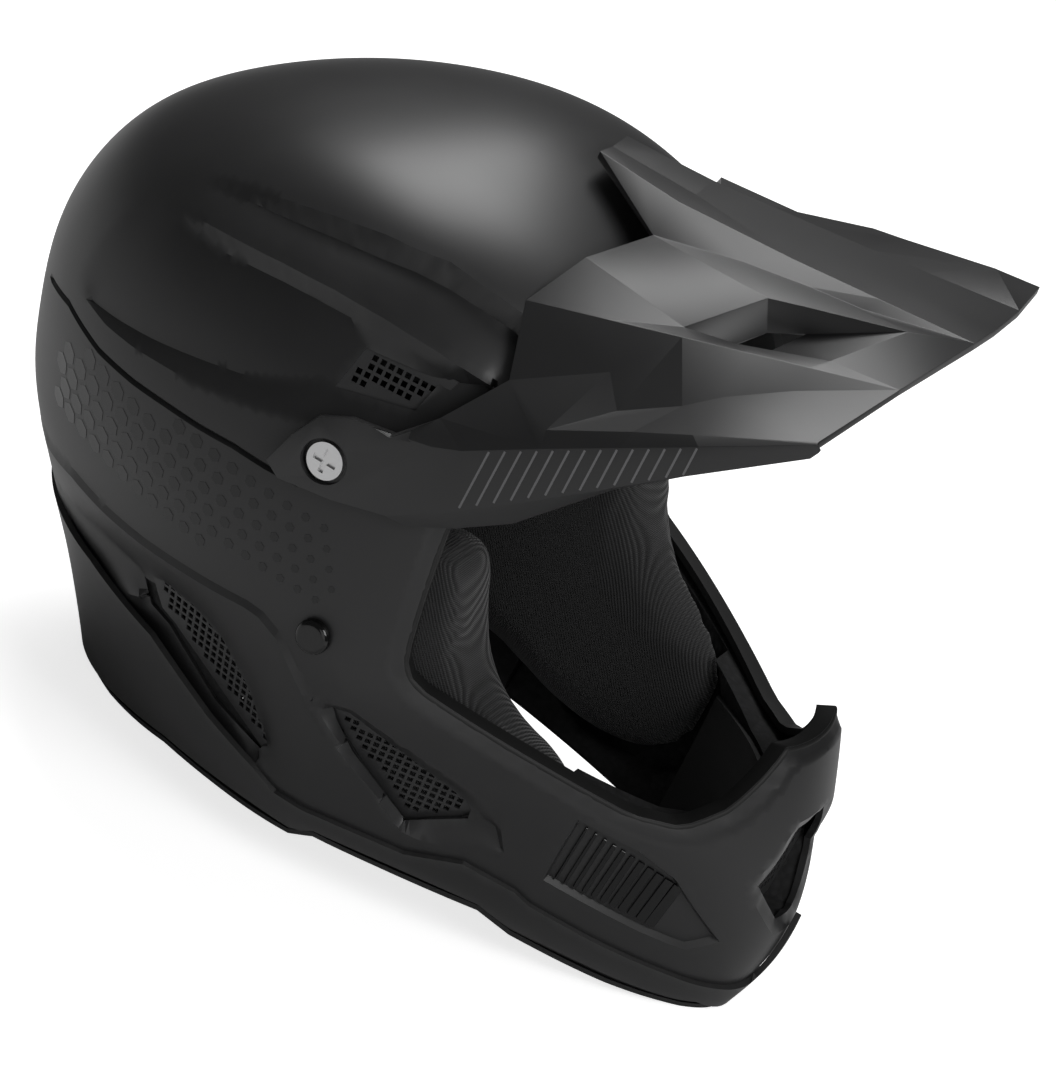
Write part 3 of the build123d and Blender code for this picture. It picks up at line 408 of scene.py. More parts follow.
def carried(piece, material, body="root", replaced=()):
    piece.data.materials.clear()
    piece.data.materials.append(material)
    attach(piece, body)
    if replaced:
        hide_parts(*replaced)
    return piece


# Node groups that several materials share
def newGroup(name, inputs, outputs):
    group = bpy.data.node_groups.new(name, "ShaderNodeTree")
    for label, kind, value in inputs:
        socket = group.interface.new_socket(label, in_out="INPUT", socket_type="NodeSocket" + kind)
        socket.default_value = value
    for label, kind in outputs:
        group.interface.new_socket(label, in_out="OUTPUT", socket_type="NodeSocket" + kind)
    return group, group.nodes.new("NodeGroupInput"), group.nodes.new("NodeGroupOutput")


def mathNode(tree, operation, first, second, third=None):
    node = tree.nodes.new("ShaderNodeMath")
    node.operation = operation
    for socket, value in zip(node.inputs, (first, second, third)):
        if value is None:
            continue
        if isinstance(value, (int, float)):
            socket.default_value = value
        else:
            tree.links.new(value, socket)
    return node.outputs[0]


def grainGroup():
    # Fine moulded grain: a normal, and a roughness that wanders a little
    tree, given, put = newGroup(
        "mouldedGrain",
        [
            ("Scale", "Float", 2500.0), ("Height", "Float", 0.00002), ("Roughness", "Float", 0.45),
            ("Wander", "Float", 0.08),
        ],
        [("Normal", "Vector"), ("Roughness", "Float"), ("Cloud", "Float")],
    )
    place = tree.nodes.new("ShaderNodeTexCoord")
    fine = tree.nodes.new("ShaderNodeTexNoise")
    fine.inputs["Detail"].default_value = 3
    cloud = tree.nodes.new("ShaderNodeTexNoise")
    cloud.inputs["Scale"].default_value = 28
    cloud.inputs["Detail"].default_value = 4
    bump = tree.nodes.new("ShaderNodeBump")
    bump.inputs["Strength"].default_value = 1.0
    for node in (fine, cloud):
        tree.links.new(place.outputs["Object"], node.inputs["Vector"])
    tree.links.new(given.outputs["Scale"], fine.inputs["Scale"])
    tree.links.new(fine.outputs["Fac"], bump.inputs["Height"])
    tree.links.new(given.outputs["Height"], bump.inputs["Distance"])
    off = mathNode(tree, "SUBTRACT", cloud.outputs["Fac"], 0.5)
    tree.links.new(
        mathNode(tree, "MULTIPLY_ADD", off, given.outputs["Wander"], given.outputs["Roughness"]),
        put.inputs["Roughness"],
    )
    tree.links.new(cloud.outputs["Fac"], put.inputs["Cloud"])
    tree.links.new(bump.outputs["Normal"], put.inputs["Normal"])
    return tree


def edgeHighlightGroup():
    # Mask of the raised edges, which take a painted highlight in the colour
    tree, given, put = newGroup("paintedEdgeHighlight", [("Amount", "Float", 1.0)], [("Mask", "Float")])
    shape = tree.nodes.new("ShaderNodeNewGeometry")
    ramp = tree.nodes.new("ShaderNodeMapRange")
    ramp.inputs["From Min"].default_value = 0.52
    ramp.inputs["From Max"].default_value = 0.62
    tree.links.new(shape.outputs["Pointiness"], ramp.inputs["Value"])
    tree.links.new(mathNode(tree, "MULTIPLY", ramp.outputs[0], given.outputs["Amount"]), put.inputs["Mask"])
    return tree


grain = grainGroup()
edgeHighlight = edgeHighlightGroup()


def groupNode(tree, group, **values):
    node = tree.nodes.new("ShaderNodeGroup")
    node.node_tree = group
    for name, value in values.items():
        node.inputs[name].default_value = value
    return node


def newMaterial(name):
    material = bpy.data.materials.new(name)
    material.use_nodes = True
    return material, material.node_tree, material.node_tree.nodes["Principled BSDF"]


def mixedColour(tree, mask, low, high):
    mix = tree.nodes.new("ShaderNodeMix")
    mix.data_type = "RGBA"
    mix.inputs[6].default_value = (*low, 1)
    mix.inputs[7].default_value = (*high, 1)
    tree.links.new(mask, mix.inputs[0])
    return mix.outputs[2]


def plasticMaterial(name, dark, light, highlightColour, roughness, wander, scale, height, highlightAmount, specular=0.5):
    # Moulded plastic or paint: clouded colour, grain, and a painted highlight on raised edges
    material, tree, shader = newMaterial(name)
    skin = groupNode(tree, grain, Scale=scale, Height=height, Roughness=roughness, Wander=wander)
    edges = groupNode(tree, edgeHighlight, Amount=highlightAmount)
    base = mixedColour(tree, skin.outputs["Cloud"], dark, light)
    # Painted highlight: the raised edges are mixed towards the lighter third colour
    mix = tree.nodes.new("ShaderNodeMix")
    mix.data_type = "RGBA"
    mix.inputs[7].default_value = (*highlightColour, 1)
    tree.links.new(edges.outputs["Mask"], mix.inputs[0])
    tree.links.new(base, mix.inputs[6])
    tree.links.new(mix.outputs[2], shader.inputs["Base Color"])
    tree.links.new(skin.outputs["Roughness"], shader.inputs["Roughness"])
    tree.links.new(skin.outputs["Normal"], shader.inputs["Normal"])
    shader.inputs["Specular IOR Level"].default_value = specular
    return material


def metalMaterial(name, dark, light, roughness, wander):
    material, tree, shader = newMaterial(name)
    skin = groupNode(tree, grain, Scale=1800.0, Height=0.00001, Roughness=roughness, Wander=wander)
    tree.links.new(mixedColour(tree, skin.outputs["Cloud"], dark, light), shader.inputs["Base Color"])
    tree.links.new(skin.outputs["Roughness"], shader.inputs["Roughness"])
    tree.links.new(skin.outputs["Normal"], shader.inputs["Normal"])
    shader.inputs["Metallic"].default_value = 1.0
    return material


def foamMaterial():
    # Expanded beads pressed together, with painted shade in the gaps between them
    material, tree, shader = newMaterial("beadFoam")
    place = tree.nodes.new("ShaderNodeTexCoord")
    beads = tree.nodes.new("ShaderNodeTexVoronoi")
    beads.inputs["Scale"].default_value = 330
    tree.links.new(place.outputs["Object"], beads.inputs["Vector"])
    bump = tree.nodes.new("ShaderNodeBump")
    bump.invert = True
    bump.inputs["Distance"].default_value = 0.0004
    tree.links.new(beads.outputs["Distance"], bump.inputs["Height"])
    tree.links.new(bump.outputs["Normal"], shader.inputs["Normal"])
    # Painted shade: the colour darkens from each bead's middle towards the gaps between beads
    tree.links.new(
        mixedColour(tree, beads.outputs["Distance"], (0.014, 0.014, 0.015), (0.004, 0.004, 0.004)),
        shader.inputs["Base Color"],
    )
    shader.inputs["Roughness"].default_value = 0.8
    return material


def knitMaterial(name, pitch, tilt):
    # Ribs across the run, with finer stitches along them, and painted shade in the valleys between them;
    # the pitch is in millimetres
    material, tree, shader = newMaterial(name)
    place = tree.nodes.new("ShaderNodeTexCoord")
    turned = tree.nodes.new("ShaderNodeMapping")
    turned.inputs["Rotation"].default_value = (radians(tilt), 0, 0)
    turned.inputs["Scale"].default_value = (1.0, 1000 / pitch, 1000 / pitch)
    tree.links.new(place.outputs["Object"], turned.inputs["Vector"])
    split = tree.nodes.new("ShaderNodeSeparateXYZ")
    tree.links.new(turned.outputs["Vector"], split.inputs[0])
    rib = mathNode(tree, "SINE", mathNode(tree, "MULTIPLY", split.outputs["Y"], 2 * pi), None)
    stitch = mathNode(tree, "SINE", mathNode(tree, "MULTIPLY", split.outputs["Z"], 2 * pi * 1.4), None)
    height = mathNode(tree, "MULTIPLY_ADD", stitch, 0.35, rib)
    height = mathNode(tree, "MULTIPLY_ADD", height, 0.37, 0.5)
    bump = tree.nodes.new("ShaderNodeBump")
    bump.inputs["Distance"].default_value = 0.0006
    tree.links.new(height, bump.inputs["Height"])
    tree.links.new(bump.outputs["Normal"], shader.inputs["Normal"])
    # Painted shade: the colour darkens with the rib height towards the valleys
    colour = mixedColour(tree, height, (0.0015, 0.0015, 0.0016), (0.018, 0.018, 0.019))
    tree.links.new(colour, shader.inputs["Base Color"])
    shader.inputs["Roughness"].default_value = 0.85
    shader.inputs["Sheen Weight"].default_value = 0.25
    shader.inputs["Sheen Roughness"].default_value = 0.5
    return material


# The third colour of each plastic is its painted highlight on raised edges
materials = {
    "shell": plasticMaterial(
        "mattePaint", (0.017, 0.017, 0.0175), (0.023, 0.023, 0.0236), (0.05, 0.05, 0.051), 0.4, 0.07,
        3200.0, 0.000012, 0.5,
    ),
    "wrap": plasticMaterial(
        "satinWrap", (0.014, 0.014, 0.0145), (0.019, 0.019, 0.0195), (0.05, 0.05, 0.05), 0.4, 0.08, 2600.0,
        0.000015, 0.6,
    ),
    "trim_rubber": plasticMaterial(
        "edgeRubber", (0.004, 0.004, 0.004), (0.007, 0.007, 0.007), (0.012, 0.012, 0.012), 0.6, 0.1,
        1500.0, 0.00003, 0.2,
    ),
    "foam": foamMaterial(),
    "cover": plasticMaterial(
        "softCover", (0.004, 0.004, 0.0042), (0.008, 0.008, 0.0082), (0.02, 0.02, 0.02), 0.5, 0.12, 1400.0,
        0.00004, 0.3,
    ),
    "padding": knitMaterial("ribbedKnit", 1.0, 35),
    "mesh": plasticMaterial(
        "wireMesh", (0.022, 0.022, 0.023), (0.04, 0.04, 0.041), (0.09, 0.09, 0.09), 0.35, 0.1, 900.0,
        0.00002, 0.4,
    ),
    "screw": metalMaterial("bareAluminium", (0.62, 0.62, 0.63), (0.8, 0.8, 0.8), 0.3, 0.15),
    "insert": metalMaterial("steelInsert", (0.42, 0.42, 0.42), (0.55, 0.55, 0.55), 0.35, 0.15),
    "knob": plasticMaterial(
        "glossKnob", (0.006, 0.006, 0.006), (0.01, 0.01, 0.01), (0.04, 0.04, 0.04), 0.18, 0.08, 900.0,
        0.000005, 0.3,
    ),
    "rivet": plasticMaterial(
        "rivetPaint", (0.003, 0.003, 0.003), (0.005, 0.005, 0.005), (0.02, 0.02, 0.02), 0.12, 0.05, 900.0,
        0.000005, 0.3,
    ),
    "webbing": knitMaterial("wovenWebbing", 0.9, 0),
    "ring": metalMaterial("anodisedRing", (0.06, 0.06, 0.062), (0.1, 0.1, 0.1), 0.3, 0.1),
}
slotOf = {part["node"]: part["material_slot"] for part in frame["record"]["subparts"]}
for name, node in frame["nodes"].items():
    node.data.materials.clear()
    node.data.materials.append(materials[slotOf[name]])
print("materials made")

# Outlines that the CAD pieces share, by Y and Z
eyePortSide = [
    (-57, 166), (-59.5, 140), (-62, 120), (-63.5, 113), (-67, 108), (-73, 105), (-110, 95), (-146, 85),
    (-151, 84), (-163, 84), (-167, 86), (-174.5, 93.5), (-176, 96.5), (-180.5, 117),
]
lowerEdgeSide = [
    (-187, 3.3), (-184, 3.3), (-159, 7.3), (-124, 15.3), (-112, 22.2), (-50, 22.2), (-40, 15.3),
    (20, 13.1), (55, 3.3), (92, 3.3),
]
wrapSeamSide = [
    (126, 66), (120, 65), (69, 64), (32, 60), (0, 46), (-23, 38), (-33, 33), (-52, 34), (-83, 35),
    (-103, 42), (-122, 38), (-128, 34), (-152, 27), (-175, 21), (-192, 16), (-199.5, 15),
]


def overRim(spot, reach=1.9):
    # Place past the middle plane, beyond a place on it
    return spot / np.linalg.norm(spot) * reach


def cutBelow(sidePoints):
    # Polygon of the map under a line that runs from chin to nape
    spots = onSide(sidePoints)[0]
    return np.vstack([overRim(spots[0]), spots, overRim(spots[-1]), (1.3, -1.9), (-1.3, -1.9)])


portLower = np.vstack([onSide(eyePortSide)[0], toMap(np.array([(0.0, -185.0, 117.0)]))])
portUpper = onSide([(-57, 166), (-73.4, 184.6), (-100, 202.7), (-122, 210.7), (-126, 211)])[0]
portFar = [overRim(spot) for spot in (portLower[-1], toMap(np.array([(0.0, -230, 150)]))[0], portUpper[-1])]
eyePort = np.vstack([portUpper[::-1], portLower[1:]] + portFar)
shellBottom = cutBelow(lowerEdgeSide)

# Vent openings read off the photograph, each point with its depth below the head's surface
ventPixels = {
    "brow": [(337, 392, -4.6), (368, 354, -5), (443, 387, -5.5), (416, 415, -4)],
    "front": [
        (331, 707, -4), (350, 714, -4), (463, 799, -4), (469, 809, -4), (466, 818, -4), (404, 820, -4),
        (352, 752, -4),
    ],
    "rear": [
        (143, 576, -5), (166, 588, -5), (192, 606, -5), (222, 640, -5), (247, 688, -5), (265, 742, -5),
        (258, 748, -5), (213, 700, -5), (168, 626, -5), (150, 606, -5),
    ],
}
vents = {name: onPhoto(pixels) for name, pixels in ventPixels.items()}
chinVent = toMap(np.array([
    (0, -203, 86.0), (-14, -196, 85), (-26, -189, 65), (-9, -201, 46), (0, -203, 46.0),
]))
chinVentCut = np.vstack([chinVent, overRim(chinVent[-1]), overRim(chinVent[0])])
exhaust = toMap(np.array([
    (0, 150, 170.0), (-22, 149, 170), (-30, 146, 160), (-17, 150, 145), (0, 152, 145.0),
]))
exhaustCut = np.vstack([exhaust, overRim(exhaust[-1]), overRim(exhaust[0])])

# Creases of the dome in photo pixels, with the depth of each point
upperCrease = [
    (179, 165, 0), (232, 181, 0), (285, 199, 0), (335, 216, 0), (385, 234, 0), (421, 251, 0),
    (451, 262, 0), (484, 286, 0), (521, 312, 0), (575, 345, 0),
]
upperValley = [
    (219, 188, -1), (252, 203, -2), (285, 219, -3), (335, 241, -4.2), (385, 264, -5), (418, 277, -5.4),
    (451, 294, -5.6), (484, 315, -5.6), (514, 335, -5.6), (550, 365, -4),
]
lowerCrease = [
    (146, 192, 0), (186, 211, 0), (236, 239, 0), (285, 264, 0), (335, 290, 0), (385, 319, 0),
    (435, 350, 0), (478, 378, 0), (498, 390, 0), (545, 420, 0),
]
lowerValley = [
    (186, 229, -1.4), (219, 251, -2.6), (252, 269, -3.4), (285, 286, -4), (318, 304, -4.5), (353, 324, -5),
    (362, 345, -5), (368, 354, -5), (443, 387, -5.5), (494, 391, -4.5),
]
ledgeTop = [
    (93, 302, -1.4), (119, 322, -2.6), (153, 342, -3.5), (186, 357, -4), (219, 370, -4.3),
    (257, 383, -4.5), (333, 386, -4.6), (337, 392, -4.6), (416, 415, -4), (445, 393, -5), (494, 391, -4.5),
]
ledgeFoot = [
    (75, 282, 0), (86, 299, 0), (106, 325, 0), (133, 347, 0), (159, 363, 0), (192, 382, 0), (219, 393, 0),
    (259, 408, 0), (292, 417, 0), (330, 427, 0), (421, 436, 0), (500, 445, 0),
]
seamLine = onPhoto([
    (56, 281, -1.6), (73, 305, -1.6), (103, 352, -1.6), (136, 382, -1.6), (169, 405, -1.6),
    (202, 427, -1.6), (236, 446, -1.6), (267, 466, -1.6), (300, 484, -1.6),
])
rearCrest = [
    (36, 410, 0), (48, 445, 1), (72, 476, 1.4), (106, 514, 1.4), (140, 543, 1.4), (175, 567, 1.4),
    (209, 588, 1.4), (244, 607, 1.4), (258, 617, 1.4), (277, 640, 1.4), (289, 667, 1.4), (306, 702, 1),
    (350, 766, 0.5), (403, 826, 0),
]
rearRecessFoot = [
    (380, 836, 0), (330, 822, 0), (290, 795, 0), (268, 772, 0), (215, 742, 0), (150, 660, 0), (95, 610, 0),
    (60, 548, 0), (40, 470, 0),
]
frontRecess = [
    (326, 700, 0), (352, 710, 0), (420, 758, 0), (472, 790, 0), (499, 808, 0), (504, 852, 0),
    (440, 850, 0), (401, 832, 0), (350, 766, 0.5), (306, 702, 1),
]
stripeRecess = [
    (578, 820, 0), (640, 852, 0), (676, 880, 0), (720, 942, 0), (686, 950, 0), (640, 932, 0),
    (543, 880, 0),
]


def grooveAlong(line, halfWidth):
    # Narrow groove that follows an open line
    right, left = beside(line, -halfWidth * onMap)[0], beside(line, halfWidth * onMap)[0]
    outline = np.concatenate([right, left[::-1]])
    return {"outline": (outline, np.zeros(len(outline))), "lines": [line]}


def capped(polygon, distance):
    # Outline of the port moved outwards, whose far side stays past the middle plane
    return movedIn(polygon, -distance * onMap)


portRim = {"width": 8.0, "depth": -2.8}
portBevel = {"outline": (capped(eyePort, portRim["width"]), np.zeros(len(eyePort))),
             "lines": [(np.vstack([eyePort, eyePort[:1]]), np.full(len(eyePort) + 1, portRim["depth"]))]}
chinBevelOutline = capped(chinVentCut, 5.0)
chinBevel = {"outline": (chinBevelOutline, np.zeros(len(chinBevelOutline))),
             "lines": [(np.vstack([chinVentCut, chinVentCut[:1]]), np.full(len(chinVentCut) + 1, -3.0))]}
crestRise = 3.0
shellRegions = [
    {"outline": joined(onPhoto(upperCrease), onPhoto(lowerCrease[::-1])), "lines": [onPhoto(upperValley)]},
    {
        "outline": joined(onPhoto(lowerCrease[:-1]), onPhoto(ledgeFoot[::-1])),
        "lines": [onPhoto(lowerValley), onPhoto(ledgeTop)],
    },
    grooveAlong(seamLine, 1.3),
    {
        "outline": joined(
            (beside(onPhoto(rearCrest), -crestRise * onMap)[0], np.zeros(len(rearCrest))),
            onPhoto(rearRecessFoot),
        ),
        "lines": [
            onPhoto(rearCrest), onPhoto([(60, 488, -1), (95, 530, -3), (130, 562, -4.5), (143, 576, -5)]),
            onPhoto([(166, 588, -5), (192, 606, -5), (222, 640, -5), (247, 688, -5), (265, 742, -5)]),
            onPhoto([(84, 572, -1), (141, 598, -1.2), (159, 619, -1.5), (213, 690, -1.5), (255, 752, -1)]),
            onPhoto([(143, 576, -5), (150, 606, -5), (168, 626, -5), (213, 700, -5), (258, 748, -5)]),
        ],
    },
    {
        "outline": onPhoto(frontRecess),
        "lines": [
            onPhoto(ventPixels["front"] + ventPixels["front"][:1]),
            onPhoto([(469, 809, -4), (494, 826, -3), (500, 848, -1)]),
        ],
    },
    {"outline": onPhoto(stripeRecess), "wall": (1.4, -2.4)}, portBevel, chinBevel,
]
print("regions placed")

shellForm = {"spacing": 0.017, "wall": 2.6, "smooth": 28}
shellCuts = [eyePort, shellBottom, chinVentCut, exhaustCut] + [vent[0] for vent in vents.values()]
shell = panelMesh("shellPanel", shellForm["spacing"], [], shellCuts, shellRegions)
bothSides(shell)
applied(shell, "SOLIDIFY", thickness=shellForm["wall"] * mm, offset=-1.0)
smoothShaded(shell, shellForm["smooth"])
carried(shell, materials["shell"], replaced=["outer_shell"])
print("shell made", len(shell.data.polygons))

# The wrap stands off the shell, so its lower edge is cut higher by the lift
wrapForm = {"spacing": 0.02, "stand": 2.6, "wall": 2.3, "lift": 3.5, "smooth": 28}
wrapFoot = [(y, z + wrapForm["lift"]) for y, z in lowerEdgeSide]
wrapAbove = np.vstack([onSide(wrapSeamSide)[0], (-1.9, 0.2), (-1.9, 1.9), (1.9, 1.9), (1.9, -0.2)])
wrap = panelMesh(
    "lowerWrapPanel", wrapForm["spacing"], [], [cutBelow(wrapFoot), wrapAbove], [], grow=wrapForm["stand"],
)
bothSides(wrap)
applied(wrap, "SOLIDIFY", thickness=wrapForm["wall"] * mm, offset=-1.0)
smoothShaded(wrap, wrapForm["smooth"])
carried(wrap, materials["wrap"], replaced=["lower_wrap"])
print("wrap made", len(wrap.data.polygons))

# Port trim: a soft rubber lip swept round the eye port
def sweptLoop(name, places, normals, section):
    # Closed tube whose section is given by (inwards, outwards) from each place of a closed line
    ahead = np.roll(places, -1, 0) - np.roll(places, 1, 0)
    ahead /= np.linalg.norm(ahead, axis=1)[:, None]
    sideways = np.cross(normals, ahead)
    sideways /= np.linalg.norm(sideways, axis=1)[:, None]
    count, size = len(places), len(section)
    points = np.concatenate([
        [place + s * width + n * height for width, height in section]
        for place, s, n in zip(places, sideways, normals)
    ])
    faces = [
        (
            i * size + j, i * size + (j + 1) % size, (i + 1) % count * size + (j + 1) % size,
            (i + 1) % count * size + j,
        )
        for i in range(count) for j in range(size)
    ]
    return meshObject(name, points, faces)


def outwardNormals(piece):
    bpy.ops.object.select_all(action="DESELECT")
    bpy.context.view_layer.objects.active = piece
    piece.select_set(True)
    bpy.ops.object.mode_set(mode="EDIT")
    bpy.ops.mesh.select_all(action="SELECT")
    bpy.ops.mesh.normals_make_consistent(inside=False)
    bpy.ops.object.mode_set(mode="OBJECT")
    piece.select_set(False)


portLip = {"width": 2.6, "stand": 0.7, "depth": 7.0, "round": 1.0}


def addPortTrim():
    line = resampled(
        np.vstack([portUpper[::-1], portLower[1:]]), np.zeros(len(portUpper) + len(portLower) - 1), 0.014,
        False,
    )[0]
    line = line[np.linalg.norm(line, axis=1) < pi / 2]
    right, rightNormals = toSurface(line)
    right = right + rightNormals * portRim["depth"]
    flip = np.array((-1, 1, 1))
    places = np.concatenate([right, (right * flip)[::-1]])
    normals = np.concatenate([rightNormals, (rightNormals * flip)[::-1]])
    w, t, d, r = (portLip[key] for key in ("width", "stand", "depth", "round"))
    section = [
        (0, -d), (0, t - r), (-r * 0.3, t - r * 0.3), (-r, t), (-w + r, t), (-w + r * 0.3, t - r * 0.3),
        (-w, t - r), (-w, -d),
    ]
    trim = sweptLoop("portTrim", places, normals, section)
    outwardNormals(trim)
    smoothShaded(trim, 50)
    carried(trim, materials["trim_rubber"], replaced=["eyeport_trim"])


addPortTrim()
print("port trim made")

# Visor: folds read off the photograph, each point with its distance from the middle plane
visor = {
    "wall": 2.8, "edge": 0.55, "pivot": (-10.0, 170.0), "armSeat": 123.7, "armSlope": 0.1192, "boss": 10.5,
    "recess": 8.5, "recessDepth": 2.4, "hole": 3.05,
}


def atSide(u, v, x):
    # Point seen at a pixel of the photograph, at a given distance from the middle plane
    ray = photoRays([(u, v)])[0]
    return eye + ray * ((-x - eye[0]) / ray[0])


def onArm(u, v):
    # Point seen at a pixel, on the outer face of the right arm
    ray = photoRays([(u, v)])[0]
    slope = visor["armSlope"]
    reach = (-visor["armSeat"] - slope * (eye[1] - visor["pivot"][0]) - eye[0]) / (ray[0] + slope * ray[1])
    return eye + ray * reach


ridge = [
    atSide(600, 151, 12), atSide(640, 177, 14), atSide(679, 202, 16), atSide(793, 259, 19),
    atSide(879, 299, 20.5), atSide(975, 343.5, 22.5),
]
visorSpots = {"m%d" % i: place * (0, 1, 1) - (0, 0, 1.2) for i, place in enumerate(ridge)}
visorSpots.update({"r%d" % i: place for i, place in enumerate(ridge)})
visorSpots.update({
    "n1": atSide(653, 235, 30), "n2": atSide(741, 261, 28), "n3": atSide(810, 287, 26.5),
    "n4": atSide(862, 309, 25), "w1": atSide(586, 257, 60), "w2": atSide(526, 300, 80),
    "k1": atSide(606, 319, 79), "k2": atSide(682, 337, 78), "k3": atSide(745, 352, 75.5),
    "k4": atSide(810, 368, 73), "k5": atSide(899.5, 390, 70), "h1": atSide(684, 327, 70),
    "h2": atSide(768, 298, 50), "h3": atSide(803, 306, 48), "h4": atSide(908, 332, 44),
    "h5": atSide(831, 361, 66), "h6": atSide(738, 344, 69), "g1": atSide(712, 352, 68),
    "g2": atSide(767, 333, 50), "g3": atSide(806, 334, 47), "g6": atSide(770, 351, 63),
    "v0": atSide(509, 380, 98), "a1": atSide(610, 372, 91), "p1": atSide(617, 411, 99),
    "q1": atSide(682, 406, 97), "q2": atSide(724, 397, 92), "q3": atSide(793, 391, 82),
    "s0": atSide(546, 430, 113), "l1": atSide(633, 432, 109), "l2": atSide(693, 435, 107),
    "l3": atSide(818.5, 442, 102.5), "t3": atSide(440, 418, 114), "t4": onArm(392, 434),
    "e1": onArm(431, 447), "e2": onArm(461, 451), "e3": onArm(540, 449), "e4": onArm(620, 448),
    "e5": onArm(698, 447), "e6": onArm(817, 445), "c1": onArm(318, 417), "c2": onArm(352, 419),
    "b0": onArm(292, 434), "b1": onArm(266, 460), "b2": onArm(277, 478), "b3": onArm(330, 500),
    "b4": onArm(385, 516), "b5": onArm(440, 513), "b6": onArm(508, 505), "b7": onArm(600, 490),
    "b8": onArm(683, 477), "b9": onArm(810, 459), "b10": onArm(819, 453),
    "d4": onArm(403, 527) + (1.0, 0, 0), "d5": onArm(450, 531) + (2.5, 0, 0),
    "d6": onArm(508, 527) + (3.5, 0, 0), "d7": onArm(612, 491) + (1.5, 0, 0),
})
visorFaces = """m0 m1 r1 r0/m1 m2 r2 r1/m2 m3 r3 r2/m3 m4 r4 r3/m4 m5 r5 r4/r0 r1 n1/r1 r2 n1/r2 r3 n2 n1
r3 r4 n3 n2/r4 r5 n4 n3/n1 h2 h1 w1/w1 h1 k1 w2/h1 h6 k2 k1/n1 n2 h2/n2 n3 h3 h2/n3 n4 h4 h3
n4 r5 h4/h4 r5 k5 h5/h5 k5 k4/h6 h5 k4 k3/h6 k3 k2/h1 h2 g2 g1/h2 h3 g3 g2/h3 h4 g3/g3 h4 h5 g6
h6 h1 g1/h5 h6 g6/g1 g6 h6/w2 k1 a1 v0/k1 k2 a1/a1 k2 p1/k2 q1 p1/k2 k3 q2 q1/k3 k4 q3 q2/k4 k5 q3
v0 a1 s0/a1 p1 s0/s0 p1 q1 l1/q1 q2 l2 l1/q2 q3 l3 l2/q3 k5 l3/v0 s0 e3 t3/t3 e3 e2/t3 e2 e1 t4
s0 l1 e4 e3/l1 l2 e5 e4/l2 l3 e6 e5/t4 e1 c2/c2 e1 b4 b3/c1 c2 b3 b2/c1 b2 b1 b0/e1 e2 b5 b4
e2 e3 b6 b5/e3 e4 b7 b6/e4 e5 b8 b7/e5 e6 b9 b8/e6 b10 b9/b4 b5 d5 d4/b5 b6 d6 d5/b6 b7 d7 d6
b7 b8 d7""".replace("\n", "/")


def discMesh(name, place, radius, near, far):
    # Closed bar along X in the side view
    x = (near + far) / 2
    bpy.ops.mesh.primitive_cylinder_add(
        vertices=64, radius=radius * mm, depth=abs(far - near) * mm, rotation=(0, pi / 2, 0),
        location=(x * mm, (place[0] + headSize["crownY"]) * mm, place[1] * mm),
    )
    made = bpy.context.object
    made.name = name
    bpy.ops.object.transform_apply(location=True, rotation=True, scale=True)
    return made


def joinedPieces(name, pieces):
    bpy.ops.object.select_all(action="DESELECT")
    for piece in pieces:
        piece.select_set(True)
    bpy.context.view_layer.objects.active = pieces[0]
    bpy.ops.object.join()
    pieces[0].name = name
    pieces[0].select_set(False)
    return pieces[0]


def cutBy(piece, cutter):
    applied(piece, "BOOLEAN", operation="DIFFERENCE", solver="EXACT", object=cutter)
    bpy.data.objects.remove(cutter)


def addVisor():
    names = list(visorSpots)
    faces = [[names.index(name) for name in face.split()] for face in visorFaces.split("/")]
    skin = meshObject("visorSkin", [visorSpots[name] for name in names], faces)
    bothSides(skin)
    outwardNormals(skin)
    if sum(face.normal.z * face.area for face in skin.data.polygons) < 0:
        skin.data.flip_normals()
    applied(skin, "SOLIDIFY", thickness=visor["wall"] * mm, offset=-1.0, use_even_offset=False)
    applied(
        skin, "BEVEL", width=visor["edge"] * mm, segments=2, limit_method="ANGLE", angle_limit=radians(9),
    )
    for side in (-1, 1):
        cutBy(
            skin,
            discMesh(
                "recessCut", visor["pivot"], visor["recess"],
                side * (visor["armSeat"] - visor["recessDepth"]), side * 160,
            ),
        )
        cutBy(skin, discMesh("shaftCut", visor["pivot"], visor["hole"], side * 100, side * 160))
    bosses = []
    for side in (-1, 1):
        boss = discMesh(
            "visorBoss", visor["pivot"], visor["boss"], side * 118.0,
            side * (visor["armSeat"] - visor["wall"] - 0.3),
        )
        cutBy(boss, discMesh("bossCut", visor["pivot"], visor["hole"], side * 100, side * 160))
        bosses.append(boss)
    made = joinedPieces("visorShell", [skin] + bosses + [lockTab()])
    smoothShaded(made, 32)
    return carried(made, materials["shell"], "visor_body", ["visor"])


lock = {
    "inner": 122.3, "outer": 125.3, "angle": 30.263, "below": 6.7, "above": 24.6, "width": 20.0,
    "slot": 5.4, "slotLength": 23.0,
}


